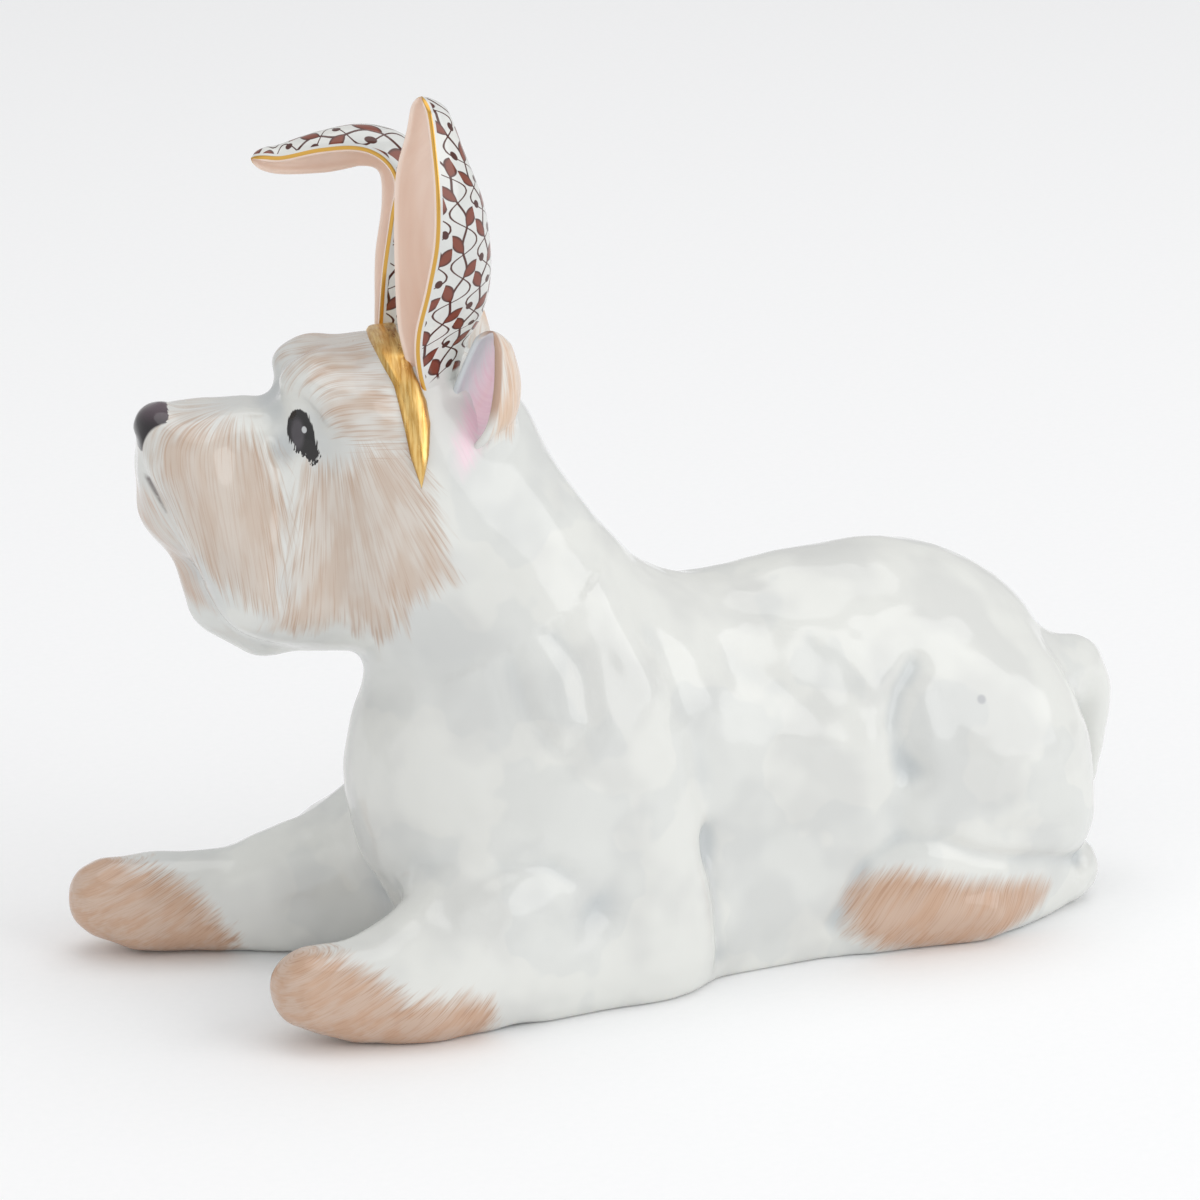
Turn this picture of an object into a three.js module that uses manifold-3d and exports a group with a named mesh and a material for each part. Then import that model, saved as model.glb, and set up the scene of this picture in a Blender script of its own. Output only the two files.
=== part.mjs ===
// A porcelain dog lying down, with its head up and a gilt hairband that carries two hare's ears.
// Millimetres, +Z up. The dog faces -X, its left side is -Y, and it lies on the plane z = 0.
//
// The figure is shaped as the maker shapes it: masses of clay are blended into one smooth original,
// which is then cut into the pieces that each mould gives. Each piece meets the next on a flat seam.

import * as THREE from "three";
import { LoftGeometry } from "three/addons/geometries/LoftGeometry.js";
import { mergeVertices } from "three/addons/utils/BufferGeometryUtils.js";
import Module from "manifold-3d";

// Driving dimensions. x = 0 is a little behind the elbows.

const RUMP = 44.5; // middle of the haunches, behind x = 0
const FAR_PAW = [-57.8, 30]; // tip of the right forepaw, which is splayed out
const HARE_EAR_LENGTH = 39; // the upright one, from inside the head to its tip
const LUTE_GAP = 0.3; // slip joint between two castings
const BAND_PROUD = 0.7; // how far the hairband stands above the head
const VENT_RADIUS = 2; // the hole in the underside that lets the air out in the kiln
const VENT_DEPTH = 4;
const TORSO_CELL = 3; // grid step of each casting's skin
const LEG_CELL = 2.5;
const HEAD_CELL = 2;
const TAIL_CELL = 1.5;

// Fields: each is a function of a point that gives the distance to a mass of clay, negative inside it

function egg(centre, radii, turn = [0, 0, 0]) {
  const [cx, cy, cz] = centre;
  const [rx, ry, rz] = radii;
  const angles = turn.map(THREE.MathUtils.degToRad);
  const back = new THREE.Matrix4().makeRotationFromEuler(new THREE.Euler(...angles)).transpose();
  const m = back.elements;
  return (x, y, z) => {
    const dx = x - cx;
    const dy = y - cy;
    const dz = z - cz;
    const u = (m[0] * dx + m[4] * dy + m[8] * dz) / rx;
    const v = (m[1] * dx + m[5] * dy + m[9] * dz) / ry;
    const w = (m[2] * dx + m[6] * dy + m[10] * dz) / rz;
    const k0 = Math.hypot(u, v, w);
    const k1 = Math.hypot(u / rx, v / ry, w / rz);
    return k1 < 1e-9 ? -Math.min(rx, ry, rz) : (k0 * (k0 - 1)) / k1;
  };
}

// A chain of round stations [x, y, z, radius], joined by cones.
function limb(...stations) {
  return (x, y, z) => {
    let nearest = Infinity;
    for (let i = 1; i < stations.length; i++) {
      const [ax, ay, az, ar] = stations[i - 1];
      const [bx, by, bz, br] = stations[i];
      const ux = bx - ax;
      const uy = by - ay;
      const uz = bz - az;
      const along = ((x - ax) * ux + (y - ay) * uy + (z - az) * uz) / (ux * ux + uy * uy + uz * uz);
      const t = Math.min(1, Math.max(0, along));
      const away = Math.hypot(x - ax - t * ux, y - ay - t * uy, z - az - t * uz);
      nearest = Math.min(nearest, away - ar - t * (br - ar));
    }
    return nearest;
  };
}

// A block with rounded edges.
function block(centre, half, round, turn = [0, 0, 0]) {
  const angles = turn.map(THREE.MathUtils.degToRad);
  const m = new THREE.Matrix4().makeRotationFromEuler(new THREE.Euler(...angles)).transpose().elements;
  return (x, y, z) => {
    const dx = x - centre[0];
    const dy = y - centre[1];
    const dz = z - centre[2];
    const qx = Math.abs(m[0] * dx + m[4] * dy + m[8] * dz) - half[0] + round;
    const qy = Math.abs(m[1] * dx + m[5] * dy + m[9] * dz) - half[1] + round;
    const qz = Math.abs(m[2] * dx + m[6] * dy + m[10] * dz) - half[2] + round;
    const outside = Math.hypot(Math.max(qx, 0), Math.max(qy, 0), Math.max(qz, 0));
    return outside + Math.min(Math.max(qx, qy, qz), 0) - round;
  };
}

// Two masses pressed together, with the crease between them filled over a width.
function press(width, first, ...others) {
  return others.reduce(
    (a, b) => (x, y, z) => {
      const da = a(x, y, z);
      const db = b(x, y, z);
      const overlap = Math.max(width - Math.abs(da - db), 0);
      return Math.min(da, db) - (overlap * overlap) / (4 * width);
    },
    first,
  );
}

// A mass hollowed by a tool, with the rim softened over a width.
function scoop(width, mass, ...tools) {
  return tools.reduce(
    (a, b) => (x, y, z) => {
      const da = a(x, y, z);
      const db = -b(x, y, z);
      const overlap = Math.max(width - Math.abs(da - db), 0);
      return Math.max(da, db) + (overlap * overlap) / (4 * width);
    },
    mass,
  );
}

// A mass and its mirror image across the plane y = 0.
const mirrored = (mass) => (x, y, z) => mass(x, -Math.abs(y), z);

// A mass turned about a vertical line and set there.
function swung(mass, [px, py], degrees) {
  const c = Math.cos(THREE.MathUtils.degToRad(degrees));
  const s = Math.sin(THREE.MathUtils.degToRad(degrees));
  return (x, y, z) => {
    const dx = x - px;
    const dy = y - py;
    return mass(c * dx + s * dy, -s * dx + c * dy, z);
  };
}

// The clay original: the body

const trunk = press(
  10,
  egg([-14, 0, 27], [24, 18, 24]),
  egg([RUMP / 2 - 12, 0, 25], [RUMP - 10.5, 15.8, 22.5]),
  egg([RUMP - 10, 0, 23.8], [25.6, 18.2, 24.3]),
  block([RUMP / 2 - 8, 0, 4], [RUMP / 2 + 18, 14.5, 8], 5),
);
const haunches = mirrored(
  press(
    4,
    egg([RUMP - 0.6, -11.2, 21], [14.5, 10.5, 15]),
    limb([RUMP + 6, -11, 14, 8.7], [RUMP - 11.5, -13.6, 12.5, 6.8]),
  ),
);
const hindFeet = mirrored(
  limb([RUMP + 13.5, -9, 4.2, 4.6], [RUMP - 4.5, -14.9, 4.3, 5.6], [RUMP - 17.5, -12.9, 4.7, 5.4]),
);
const neck = limb([-10, 0, 36, 16.5], [-17.5, 0.5, 50, 14], [-23, 4, 62, 12.2]);

const nearUpperArm = limb(
  [-14, -8, 34, 11],
  [-18, -10.5, 20, 9.5],
  [-29, -13, 12, 8],
  [-37, -13.3, 7.4, 6.8],
);
const nearElbow = limb([-15, -5, 46, 8.5], [-9.5, -9.8, 30, 9.6], [-6, -11, 14, 9.4], [-5, -10.5, 6, 9]);
const nearForeleg = limb(
  [-5, -10.5, 6, 9],
  [-20, -12.2, 6, 8.4],
  [-35, -13.5, 5.9, 7.2],
  [-44, -12.5, 6.2, 6.3],
  [-49.5, -11.5, 7.2, 5.2],
);

// The right foreleg lies straight from its elbow to its paw. A place on it is a share of that way.
const FAR_ELBOW = [-5, 11];
const onFarLeg = (share) => FAR_ELBOW.map((from, i) => from + share * (FAR_PAW[i] - from));
const farUpperArm = limb(
  [-14, 8, 34, 11],
  [-18, 12, 20, 9.5],
  [...onFarLeg(0.44), 12, 8],
  [...onFarLeg(0.59), 8, 6.8],
);
const farElbow = limb([-15, 5, 46, 8.5], [-9.5, 9.8, 30, 9.6], [-6, 11, 14, 9.4], [...FAR_ELBOW, 6, 9]);
const farForeleg = limb(
  [...onFarLeg(0), 6, 9],
  [...onFarLeg(0.3), 6.3, 8],
  [...onFarLeg(0.61), 6.2, 7.1],
  [...onFarLeg(0.8), 6, 6.3],
  [...onFarLeg(0.92), 6.2, 6.2],
  [...onFarLeg(1), 7, 5.2],
);
const tailMass = limb(
  [RUMP + 9, -2, 27, 6.5],
  [RUMP + 13.6, -4, 28.8, 4.8],
  [RUMP + 17.6, -3, 28.9, 4],
  [RUMP + 20, -1.8, 24.8, 3.7],
  [RUMP + 20.8, -0.8, 20.5, 3.3],
  [RUMP + 21.7, -0.2, 16, 2.4],
  [RUMP + 22.4, 0, 12.2, 1.3],
);

// The clay original: the head, which faces -X in a frame of its own and is then turned on the neck

const HEAD_PIVOT = [-8, 0];
const HEAD_TURN = -20;

const skull = press(
  4,
  egg([-20.5, 0, 67.8], [13.5, 12.4, 12.4]),
  block([-26, 0, 73.2], [8.9, 9.2, 6.6], 5.2),
  mirrored(egg([-23, -5.5, 69], [9.5, 7.2, 9])),
  mirrored(limb([-32.8, -5.2, 76.4, 2.8], [-30.8, -9, 75.4, 2.8], [-27, -10.2, 74.4, 2.6])),
);
const cheeks = press(
  4,
  mirrored(egg([-22.5, -7.5, 58], [10, 8, 14.6])),
  egg([-31, 0, 51.6], [12, 10, 9.6]),
);
const lips = mirrored(
  press(
    4,
    limb([-46, -4.2, 66, 5.8], [-41.8, -5.6, 58, 6.2], [-39, -6.4, 52, 5.8]),
    limb([-35, -4.8, 66, 5.8], [-35, -6.2, 57, 6.4], [-34.5, -7, 51.5, 5.8]),
  ),
);
const chin = limb([-48.8, 0, 61, 4.2], [-45.2, 0, 55.8, 4.2], [-42.4, 0, 49.2, 5.2], [-38, 0, 47, 5.6]);
const muzzle = press(3, block([-41.6, 0, 65.2], [11.4, 6.8, 8.1], 4.5, [0, -7, 0]), lips);
const nose = egg([-50.6, 0, 70.6], [2.8, 3.9, 3.2]);
const sockets = mirrored(egg([-34.4, -13, 71.6], [3.6, 4.2, 5]));
const cheekGrooves = mirrored(limb([-30.4, -16.6, 68, 2], [-29.6, -17.2, 56, 2.4]));
const face = press(1.6, press(3, press(4, skull, cheeks), muzzle), chin, nose);
const head = scoop(3, face, sockets, cheekGrooves);

const body = press(
  4,
  press(2.4, press(5, trunk, haunches), hindFeet),
  press(3, nearUpperArm, nearElbow),
  press(3, farUpperArm, farElbow),
  nearForeleg,
  farForeleg,
);
const clay = press(3, press(6, body, press(6, neck, swung(head, HEAD_PIVOT, HEAD_TURN))), tailMass);

// The skin of a field, as one closed mesh of even squares, each point drawn onto the surface.
function skin(field, low, high, cell) {
  const counts = low.map((v, i) => Math.ceil((high[i] - v) / cell) + 1);
  const [nx, ny, nz] = counts;
  const at = (i, j, k) => (k * ny + j) * nx + i;
  const value = new Float32Array(nx * ny * nz);
  for (let k = 0; k < nz; k++)
    for (let j = 0; j < ny; j++)
      for (let i = 0; i < nx; i++)
        value[at(i, j, k)] = field(low[0] + i * cell, low[1] + j * cell, low[2] + k * cell);
  const corners = [0, 1, 2, 3, 4, 5, 6, 7].map((c) => [c & 1, (c >> 1) & 1, c >> 2]);
  const edges = [];
  for (let a = 0; a < 8; a++)
    for (const bit of [1, 2, 4]) if (!(a & bit)) edges.push([a, a | bit]);
  const points = [];
  const pointOf = new Int32Array(nx * ny * nz).fill(-1);
  for (let k = 0; k < nz - 1; k++)
    for (let j = 0; j < ny - 1; j++)
      for (let i = 0; i < nx - 1; i++) {
        const v = corners.map(([a, b, c]) => value[at(i + a, j + b, k + c)]);
        const sum = [0, 0, 0];
        let crossings = 0;
        for (const [a, b] of edges) {
          if (v[a] < 0 === v[b] < 0) continue;
          const t = v[a] / (v[a] - v[b]);
          for (let n = 0; n < 3; n++) sum[n] += corners[a][n] + t * (corners[b][n] - corners[a][n]);
          crossings++;
        }
        if (!crossings) continue;
        pointOf[at(i, j, k)] = points.length / 3;
        points.push(
          ...[i, j, k].map((base, n) => low[n] + cell * (base + sum[n] / crossings)),
        );
      }
  const step = 0.05;
  for (let p = 0; p < points.length; p += 3)
    for (let pass = 0; pass < 3; pass++) {
      const [x, y, z] = points.slice(p, p + 3);
      const d = field(x, y, z);
      const g = [
        (field(x + step, y, z) - field(x - step, y, z)) / (2 * step),
        (field(x, y + step, z) - field(x, y - step, z)) / (2 * step),
        (field(x, y, z + step) - field(x, y, z - step)) / (2 * step),
      ];
      const slope = g[0] ** 2 + g[1] ** 2 + g[2] ** 2;
      const move = Math.max(-cell / 3, Math.min(cell / 3, d / Math.max(slope, 0.05)));
      for (let n = 0; n < 3; n++) points[p + n] -= g[n] * move;
    }
  const faces = [];
  const apart = (a, b) =>
    Math.hypot(...[0, 1, 2].map((n) => points[3 * a + n] - points[3 * b + n]));
  const quad = (a, b, c, d) =>
    apart(a, c) < apart(b, d) ? faces.push(a, b, c, a, c, d) : faces.push(b, c, d, b, d, a);
  for (let k = 1; k < nz - 1; k++)
    for (let j = 1; j < ny - 1; j++)
      for (let i = 1; i < nx - 1; i++) {
        const inside = value[at(i, j, k)] < 0;
        const ring = (u, v) => [
          pointOf[at(i, j, k)],
          pointOf[at(i - u[0], j - u[1], k - u[2])],
          pointOf[at(i - u[0] - v[0], j - u[1] - v[1], k - u[2] - v[2])],
          pointOf[at(i - v[0], j - v[1], k - v[2])],
        ];
        const sides = [
          [[1, 0, 0], [0, 1, 0], [0, 0, 1]],
          [[0, 1, 0], [0, 0, 1], [1, 0, 0]],
          [[0, 0, 1], [1, 0, 0], [0, 1, 0]],
        ];
        for (const [to, u, v] of sides) {
          const other = value[at(i + to[0], j + to[1], k + to[2])] < 0;
          if (inside === other) continue;
          const loop = ring(u, v);
          quad(...(inside ? loop : loop.reverse()));
        }
      }
  const geometry = new THREE.BufferGeometry();
  geometry.setAttribute("position", new THREE.Float32BufferAttribute(points, 3));
  geometry.setIndex(faces);
  return geometry;
}

const wasm = await Module();
wasm.setup();

function solidOf(geometry) {
  const bare = new THREE.BufferGeometry().copy(geometry);
  bare.deleteAttribute("normal");
  bare.deleteAttribute("uv");
  const merged = mergeVertices(bare, 1e-4);
  return new wasm.Manifold(
    new wasm.Mesh({
      numProp: 3,
      vertProperties: new Float32Array(merged.attributes.position.array),
      triVerts: new Uint32Array(merged.index.array),
    }),
  );
}

function geometryOf(solid) {
  const mesh = solid.getMesh();
  const geometry = new THREE.BufferGeometry();
  geometry.setAttribute("position", new THREE.Float32BufferAttribute(mesh.vertProperties, 3));
  geometry.setIndex(new THREE.Uint32BufferAttribute(mesh.triVerts, 1));
  return geometry;
}

// The part of a field that lies in a region, as a solid. Its walls along the region's edge are waste.
function cast(field, low, high, cell) {
  const middle = low.map((v, i) => (v + high[i]) / 2);
  const half = low.map((v, i) => (high[i] - v) / 2 - 1.5 * cell);
  const region = block(middle, half, 0);
  const bounded = (x, y, z) => Math.max(field(x, y, z), region(x, y, z));
  return solidOf(skin(bounded, low, high, cell));
}

// Everything on the far side of a seam, as a box that stands on it.
function beyond(point, normal, reach, shift) {
  const way = new THREE.Vector3(...normal).normalize();
  const box = new THREE.BoxGeometry(reach, reach, reach).translate(0, 0, reach / 2 + shift);
  box.applyQuaternion(new THREE.Quaternion().setFromUnitVectors(new THREE.Vector3(0, 0, 1), way));
  return box.translate(...point);
}

const intoHead = new THREE.Matrix4()
  .makeTranslation(...HEAD_PIVOT, 0)
  .multiply(new THREE.Matrix4().makeRotationZ(THREE.MathUtils.degToRad(HEAD_TURN)));

// Seams: a point on each, the way its casting lies, and how far the box beyond it reaches
const seams = {
  head: { at: [-20, 3, 48.3], way: [-0.54, 0, 0.84], reach: 240 },
  left_foreleg: { at: [-31, -14, 10], way: [-0.86, -0.3, -0.42], reach: 36 },
  right_foreleg: { at: [...onFarLeg(0.475), 10], way: [-0.86, 0.33, -0.4], reach: 36 },
  tail: { at: [RUMP + 17, 0, 24], way: [0.95, 0, 0.3], reach: 40 },
};

function side(name, shift) {
  const { at, way, reach } = seams[name];
  return solidOf(beyond(at, way, reach, shift));
}
const casting = (solid, name) => solid.intersect(side(name, LUTE_GAP / 2));
const rest = (solid, ...names) =>
  names.reduce((left, name) => left.subtract(side(name, -LUTE_GAP / 2)), solid);

const aboveTable = solidOf(new THREE.BoxGeometry(400, 400, 200).translate(0, 0, 100));
const vent = solidOf(
  new THREE.CylinderGeometry(VENT_RADIUS, VENT_RADIUS, 2 * VENT_DEPTH, 24)
    .rotateX(Math.PI / 2)
    .translate(RUMP / 2, 0, 0),
);

const pieces = {
  torso: rest(
    cast(clay, [-48, -34, -9], [RUMP + 31.5, 36, 70], TORSO_CELL).intersect(aboveTable).subtract(vent),
    "head",
    "left_foreleg",
    "right_foreleg",
    "tail",
  ),
  left_foreleg: casting(
    cast(clay, [-64, -30, -8], [-16, 2, 34], LEG_CELL).intersect(aboveTable),
    "left_foreleg",
  ),
  right_foreleg: casting(
    cast(clay, [FAR_PAW[0] - 14, 4, -8], [-16, FAR_PAW[1] + 14, 34], LEG_CELL).intersect(aboveTable),
    "right_foreleg",
  ),
  tail: casting(cast(clay, [RUMP + 7.5, -14, 4], [RUMP + 33.5, 14, 42], TAIL_CELL), "tail"),
};
pieces.head = casting(cast(clay, [-70, -26, 26], [8, 42, 96], HEAD_CELL), "head");

// The hairband: a skin of even thickness over the head, kept where its outline falls seen from the side
const bandOutline = new THREE.SplineCurve(
  [
    [-20.3, 66.2],
    [-21.5, 69.7],
    [-22.1, 73.2],
    [-23, 77.4],
    [-24.9, 81],
    [-26, 85],
    [-21.4, 85],
    [-21.2, 81],
    [-20.4, 78.6],
    [-19.2, 76],
    [-18.9, 73.4],
    [-19.3, 69.7],
    [-20.3, 66.2],
  ].map(([x, z]) => new THREE.Vector2(x, z)),
)
  .getPoints(22)
  .slice(1);

// The outline, moved outward by an amount and drawn out through the head.
function bandPrism(grown) {
  const outline = bandOutline.map((point, i) => {
    const before = bandOutline.at(i - 1);
    const after = bandOutline[(i + 1) % bandOutline.length];
    const along = after.clone().sub(before).normalize();
    return new THREE.Vector2(point.x - along.y * grown, point.y + along.x * grown);
  });
  const prism = new THREE.ExtrudeGeometry(new THREE.Shape(outline), { depth: 60, bevelEnabled: false });
  prism.translate(0, 0, -30).rotateX(Math.PI / 2);
  return solidOf(prism.applyMatrix4(intoHead));
}

const shellOver = (by) => cast((x, y, z) => clay(x, y, z) - by, [-46, -14, 58], [-8, 34, 92], HEAD_CELL);
const headRoom = shellOver(LUTE_GAP);
pieces.hairband = shellOver(LUTE_GAP + BAND_PROUD).subtract(headRoom).intersect(bandPrism(0));
const bandRoom = shellOver(2 * LUTE_GAP + BAND_PROUD).intersect(bandPrism(LUTE_GAP));

// Ears: each is a cupped leaf, lofted along its length through stations in the head's frame.
// A station gives the middle of the mouth, the way the mouth opens, its width and the back's depth,
// and where the cup is shallower, its share of the back's depth.
const HOLLOW = 0.6; // the cup's depth, as a share of the back's
const LIP = 0.9; // thickness of the rim
const RING_STEPS = 8;

function leaf(stations, rings) {
  const curve = new THREE.CatmullRomCurve3(stations.map((s) => new THREE.Vector3(...s.at)));
  const open = new THREE.CatmullRomCurve3(stations.map((s) => new THREE.Vector3(...s.opens)));
  const sizes = stations.map((s) => new THREE.Vector3(s.mouth, s.back, s.hollow ?? HOLLOW));
  const size = new THREE.CatmullRomCurve3(sizes, false, "catmullrom");
  const sections = [];
  for (let i = 0; i <= rings; i++) {
    const t = i / rings;
    const middle = curve.getPoint(t);
    const tangent = curve.getTangent(t);
    const opening = open.getPoint(t);
    opening.addScaledVector(tangent, -opening.dot(tangent)).normalize();
    const across = new THREE.Vector3().crossVectors(tangent, opening);
    const { x: mouth, y: back, z: hollow } = size.getPoint(t);
    const inner = mouth / 2 - Math.min(LIP, mouth / 4);
    const ring = [];
    for (let j = 0; j <= RING_STEPS; j++) {
      const a = (Math.PI * j) / RING_STEPS;
      ring.push([(mouth / 2) * Math.cos(a), -back * Math.sin(a)]);
    }
    for (let j = RING_STEPS; j >= 0; j--) {
      const a = (Math.PI * j) / RING_STEPS;
      ring.push([inner * Math.cos(a), -back * hollow * Math.sin(a)]);
    }
    sections.push(
      ring.map(([u, v]) => middle.clone().addScaledVector(across, u).addScaledVector(opening, v)),
    );
  }
  return new LoftGeometry(sections, { closed: true, capStart: true, capEnd: true });
}

const outward = [-0.945, -0.326, 0];
const upright = (share) => 73 + share * HARE_EAR_LENGTH;
const leftHareEar = leaf(
  [
    { at: [-18.6, -9, upright(0)], opens: outward, mouth: 3, back: 3 },
    { at: [-20.2, -9.2, upright(0.15)], opens: outward, mouth: 3.2, back: 6 },
    { at: [-20.9, -9.4, upright(0.28)], opens: outward, mouth: 5.6, back: 9 },
    { at: [-20.4, -9.5, upright(0.44)], opens: outward, mouth: 9.4, back: 9.9 },
    { at: [-19.9, -9.4, upright(0.59)], opens: outward, mouth: 11.8, back: 9 },
    { at: [-19.7, -9.2, upright(0.74)], opens: outward, mouth: 11.3, back: 7.2 },
    { at: [-19.3, -8.9, upright(0.87)], opens: outward, mouth: 7.6, back: 4.8 },
    { at: [-19.2, -8.6, upright(0.95)], opens: outward, mouth: 5.2, back: 3.3 },
    { at: [-19.2, -8.4, upright(1)], opens: outward, mouth: 2.8, back: 1.8 },
  ],
  18,
);
const ahead = [-1, 0, 0];
const folded = [0, -0.56, -0.83];
const rightHareEar = leaf(
  [
    { at: [-22.8, 8, 76], opens: ahead, mouth: 4, back: 5 },
    { at: [-22.6, 8, 82], opens: ahead, mouth: 5.5, back: 6.6 },
    { at: [-22.3, 8, 88], opens: ahead, mouth: 8.6, back: 7 },
    { at: [-21.4, 8, 94.5], opens: ahead, mouth: 9.4, back: 6.4 },
    { at: [-21.4, 8, 99], opens: [-0.8, -0.15, -0.5], mouth: 8.8, back: 5 },
    { at: [-24.4, 8, 101.2], opens: [-0.4, -0.4, -0.8], mouth: 8.2, back: 4 },
    { at: [-29.5, 8, 101], opens: folded, mouth: 7.4, back: 3.4 },
    { at: [-34.6, 8, 100.6], opens: folded, mouth: 4.9, back: 2.3 },
    { at: [-38, 8, 101.4], opens: folded, mouth: 2.2, back: 1.3 },
  ],
  22,
);
const dogEar = (side, forward) =>
  leaf(
    [
      [-14.6, 8, 64, 3, 2.5, 0.1],
      [-14.2, 10.4, 70, 7, 6.6, 0.2],
      [-13.6, 11.6, 74, 7.8, 7, 0.35],
      [-12.9, 12.4, 78, 7, 6.1, 0.5],
      [-12.1, 12.8, 82, 4.8, 4, 0.6],
      [-11.5, 13, 84.4, 2.4, 1.8, 0.6],
    ].map(([x, y, z, mouth, back, hollow]) => ({
      at: [x - forward, side * y, z],
      opens: [-0.8, side * 0.6, 0],
      mouth,
      back,
      hollow,
    })),
    12,
  );
const placed = (geometry) =>
  solidOf(geometry.applyMatrix4(intoHead)).subtract(headRoom).subtract(bandRoom);
const LEFT = -1;
const RIGHT = 1;
pieces.left_dog_ear = placed(dogEar(LEFT, 0));
pieces.right_dog_ear = placed(dogEar(RIGHT, 1));
pieces.left_hare_ear = placed(leftHareEar);
pieces.right_hare_ear = placed(rightHareEar);

const glaze = (name, color) => new THREE.MeshStandardMaterial({ name, color, roughness: 0.1 });
const whiteGlaze = glaze("white_glaze", 0xf1f2ef);
const furPaint = glaze("fur_paint", 0xe9ddd0);
const earPaint = glaze("ear_paint", 0xe7ccc2);
const gold = new THREE.MeshStandardMaterial({
  name: "gold",
  color: 0xc79a3f,
  roughness: 0.25,
  metalness: 1,
});

const finishes = {
  torso: whiteGlaze,
  tail: whiteGlaze,
  left_foreleg: furPaint,
  right_foreleg: furPaint,
  head: furPaint,
  left_dog_ear: furPaint,
  right_dog_ear: furPaint,
  left_hare_ear: earPaint,
  right_hare_ear: earPaint,
  hairband: gold,
};

// The origin goes on the table, under the middle of the whole figure.
const extent = new THREE.Box3();
for (const solid of Object.values(pieces)) {
  const { min, max } = solid.boundingBox();
  extent.union(new THREE.Box3(new THREE.Vector3(...min), new THREE.Vector3(...max)));
}
const centre = extent.getCenter(new THREE.Vector3());

const figure = new THREE.Group();
figure.name = "porcelain_dog";
for (const [name, solid] of Object.entries(pieces)) {
  const moved = solid.translate([-centre.x, -centre.y, 0]);
  const piece = new THREE.Mesh(geometryOf(moved), finishes[name]);
  piece.name = name;
  figure.add(piece);
}

export default figure;
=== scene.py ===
# %% [markdown]
# # A porcelain dog with hare's ears
#
# The object is a small glazed porcelain dog, lying down, with a gilt band over its head and two hare's
# ears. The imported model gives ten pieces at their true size, with flat facets. This lesson joins them
# into one smooth skin, as slip and glaze do, models the folds of the coat in it, paints it, and cuts it
# again where the castings meet.

import math

import bmesh
import bpy
import numpy as np
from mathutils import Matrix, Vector, noise
from mathutils.bvhtree import BVHTree


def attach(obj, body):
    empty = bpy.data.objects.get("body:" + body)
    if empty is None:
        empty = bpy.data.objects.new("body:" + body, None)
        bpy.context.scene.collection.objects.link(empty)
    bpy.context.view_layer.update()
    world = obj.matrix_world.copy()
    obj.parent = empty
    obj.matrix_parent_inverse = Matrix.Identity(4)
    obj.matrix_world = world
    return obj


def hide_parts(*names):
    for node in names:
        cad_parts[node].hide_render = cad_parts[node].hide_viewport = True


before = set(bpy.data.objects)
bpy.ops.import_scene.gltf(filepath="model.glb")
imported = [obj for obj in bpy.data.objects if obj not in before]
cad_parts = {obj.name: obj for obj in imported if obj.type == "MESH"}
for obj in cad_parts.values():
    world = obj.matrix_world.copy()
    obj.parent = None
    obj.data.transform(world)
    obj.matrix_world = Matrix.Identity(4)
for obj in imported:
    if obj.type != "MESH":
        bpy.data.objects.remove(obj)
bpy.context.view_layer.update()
MM = 0.001
print("nodes:", ", ".join(sorted(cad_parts)))

# %% [markdown]
# The photograph is taken from a little above, past the dog's left shoulder. A long lens keeps the
# perspective flat, so a camera far away with a narrow view gives the same picture. The frame is square
# and 150 mm wide where the dog lies. Outlines in this lesson are measured from a mark on the table,
# close to the middle of the dog.

# %% Set the camera
PHOTO_AZIMUTH = math.radians(28)
PHOTO_ELEVATION = math.radians(17)
CAMERA_DISTANCE = 800 * MM
FRAME_WIDTH = 150 * MM
SENSOR_WIDTH = 36.0
MARK = np.array([0.75, -0.16, 0.0])
AIM = Vector(MARK + [-3.65, -6.5, 0]) * MM
FRAME_LEFT = 3.875 * MM
FRAME_UP = 43.575 * MM

forward = Vector(
    (
        math.sin(PHOTO_AZIMUTH) * math.cos(PHOTO_ELEVATION),
        math.cos(PHOTO_AZIMUTH) * math.cos(PHOTO_ELEVATION),
        -math.sin(PHOTO_ELEVATION),
    )
)
right = Vector((math.cos(PHOTO_AZIMUTH), -math.sin(PHOTO_AZIMUTH), 0))
up = right.cross(forward)
aim = AIM - FRAME_LEFT * right + FRAME_UP * up


def added(name, data):
    """A new object in the scene."""
    thing = bpy.data.objects.new(name, data)
    bpy.context.scene.collection.objects.link(thing)
    return thing


camera = added("camera", bpy.data.cameras.new("camera"))
camera.data.sensor_width = SENSOR_WIDTH
camera.data.lens = SENSOR_WIDTH * CAMERA_DISTANCE / FRAME_WIDTH
camera.data.clip_start = 0.05
camera.data.clip_end = 20
camera.location = aim - forward * CAMERA_DISTANCE
camera.rotation_mode = "QUATERNION"
camera.rotation_quaternion = forward.to_track_quat("-Z", "Y")
bpy.context.scene.camera = camera
print("lens:", round(camera.data.lens), "mm")

# %% [markdown]
# The real dog is made of castings that are luted together with slip, each of them to one neighbour. The
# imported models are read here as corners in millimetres. They may keep a corner once for every facet, so
# corners that coincide are made one first.

# %% Read the castings
SEAMS = {
    "head": "torso",
    "left_foreleg": "torso",
    "right_foreleg": "torso",
    "tail": "torso",
    "left_dog_ear": "head",
    "right_dog_ear": "head",
    "left_hare_ear": "head",
    "right_hare_ear": "head",
}
CASTINGS = ["torso", *SEAMS]
EARS = [name for name in CASTINGS if name.endswith("ear")]


def welded(name):
    """A casting's corners in millimetres and its faces, with the corners that coincide made one."""
    bm = bmesh.new()
    bm.from_mesh(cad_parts[name].data)
    bmesh.ops.remove_doubles(bm, verts=bm.verts, dist=1e-7)
    corners = [v.co / MM for v in bm.verts]
    faces = [[v.index for v in f.verts] for f in bm.faces]
    bm.free()
    return corners, faces


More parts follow.
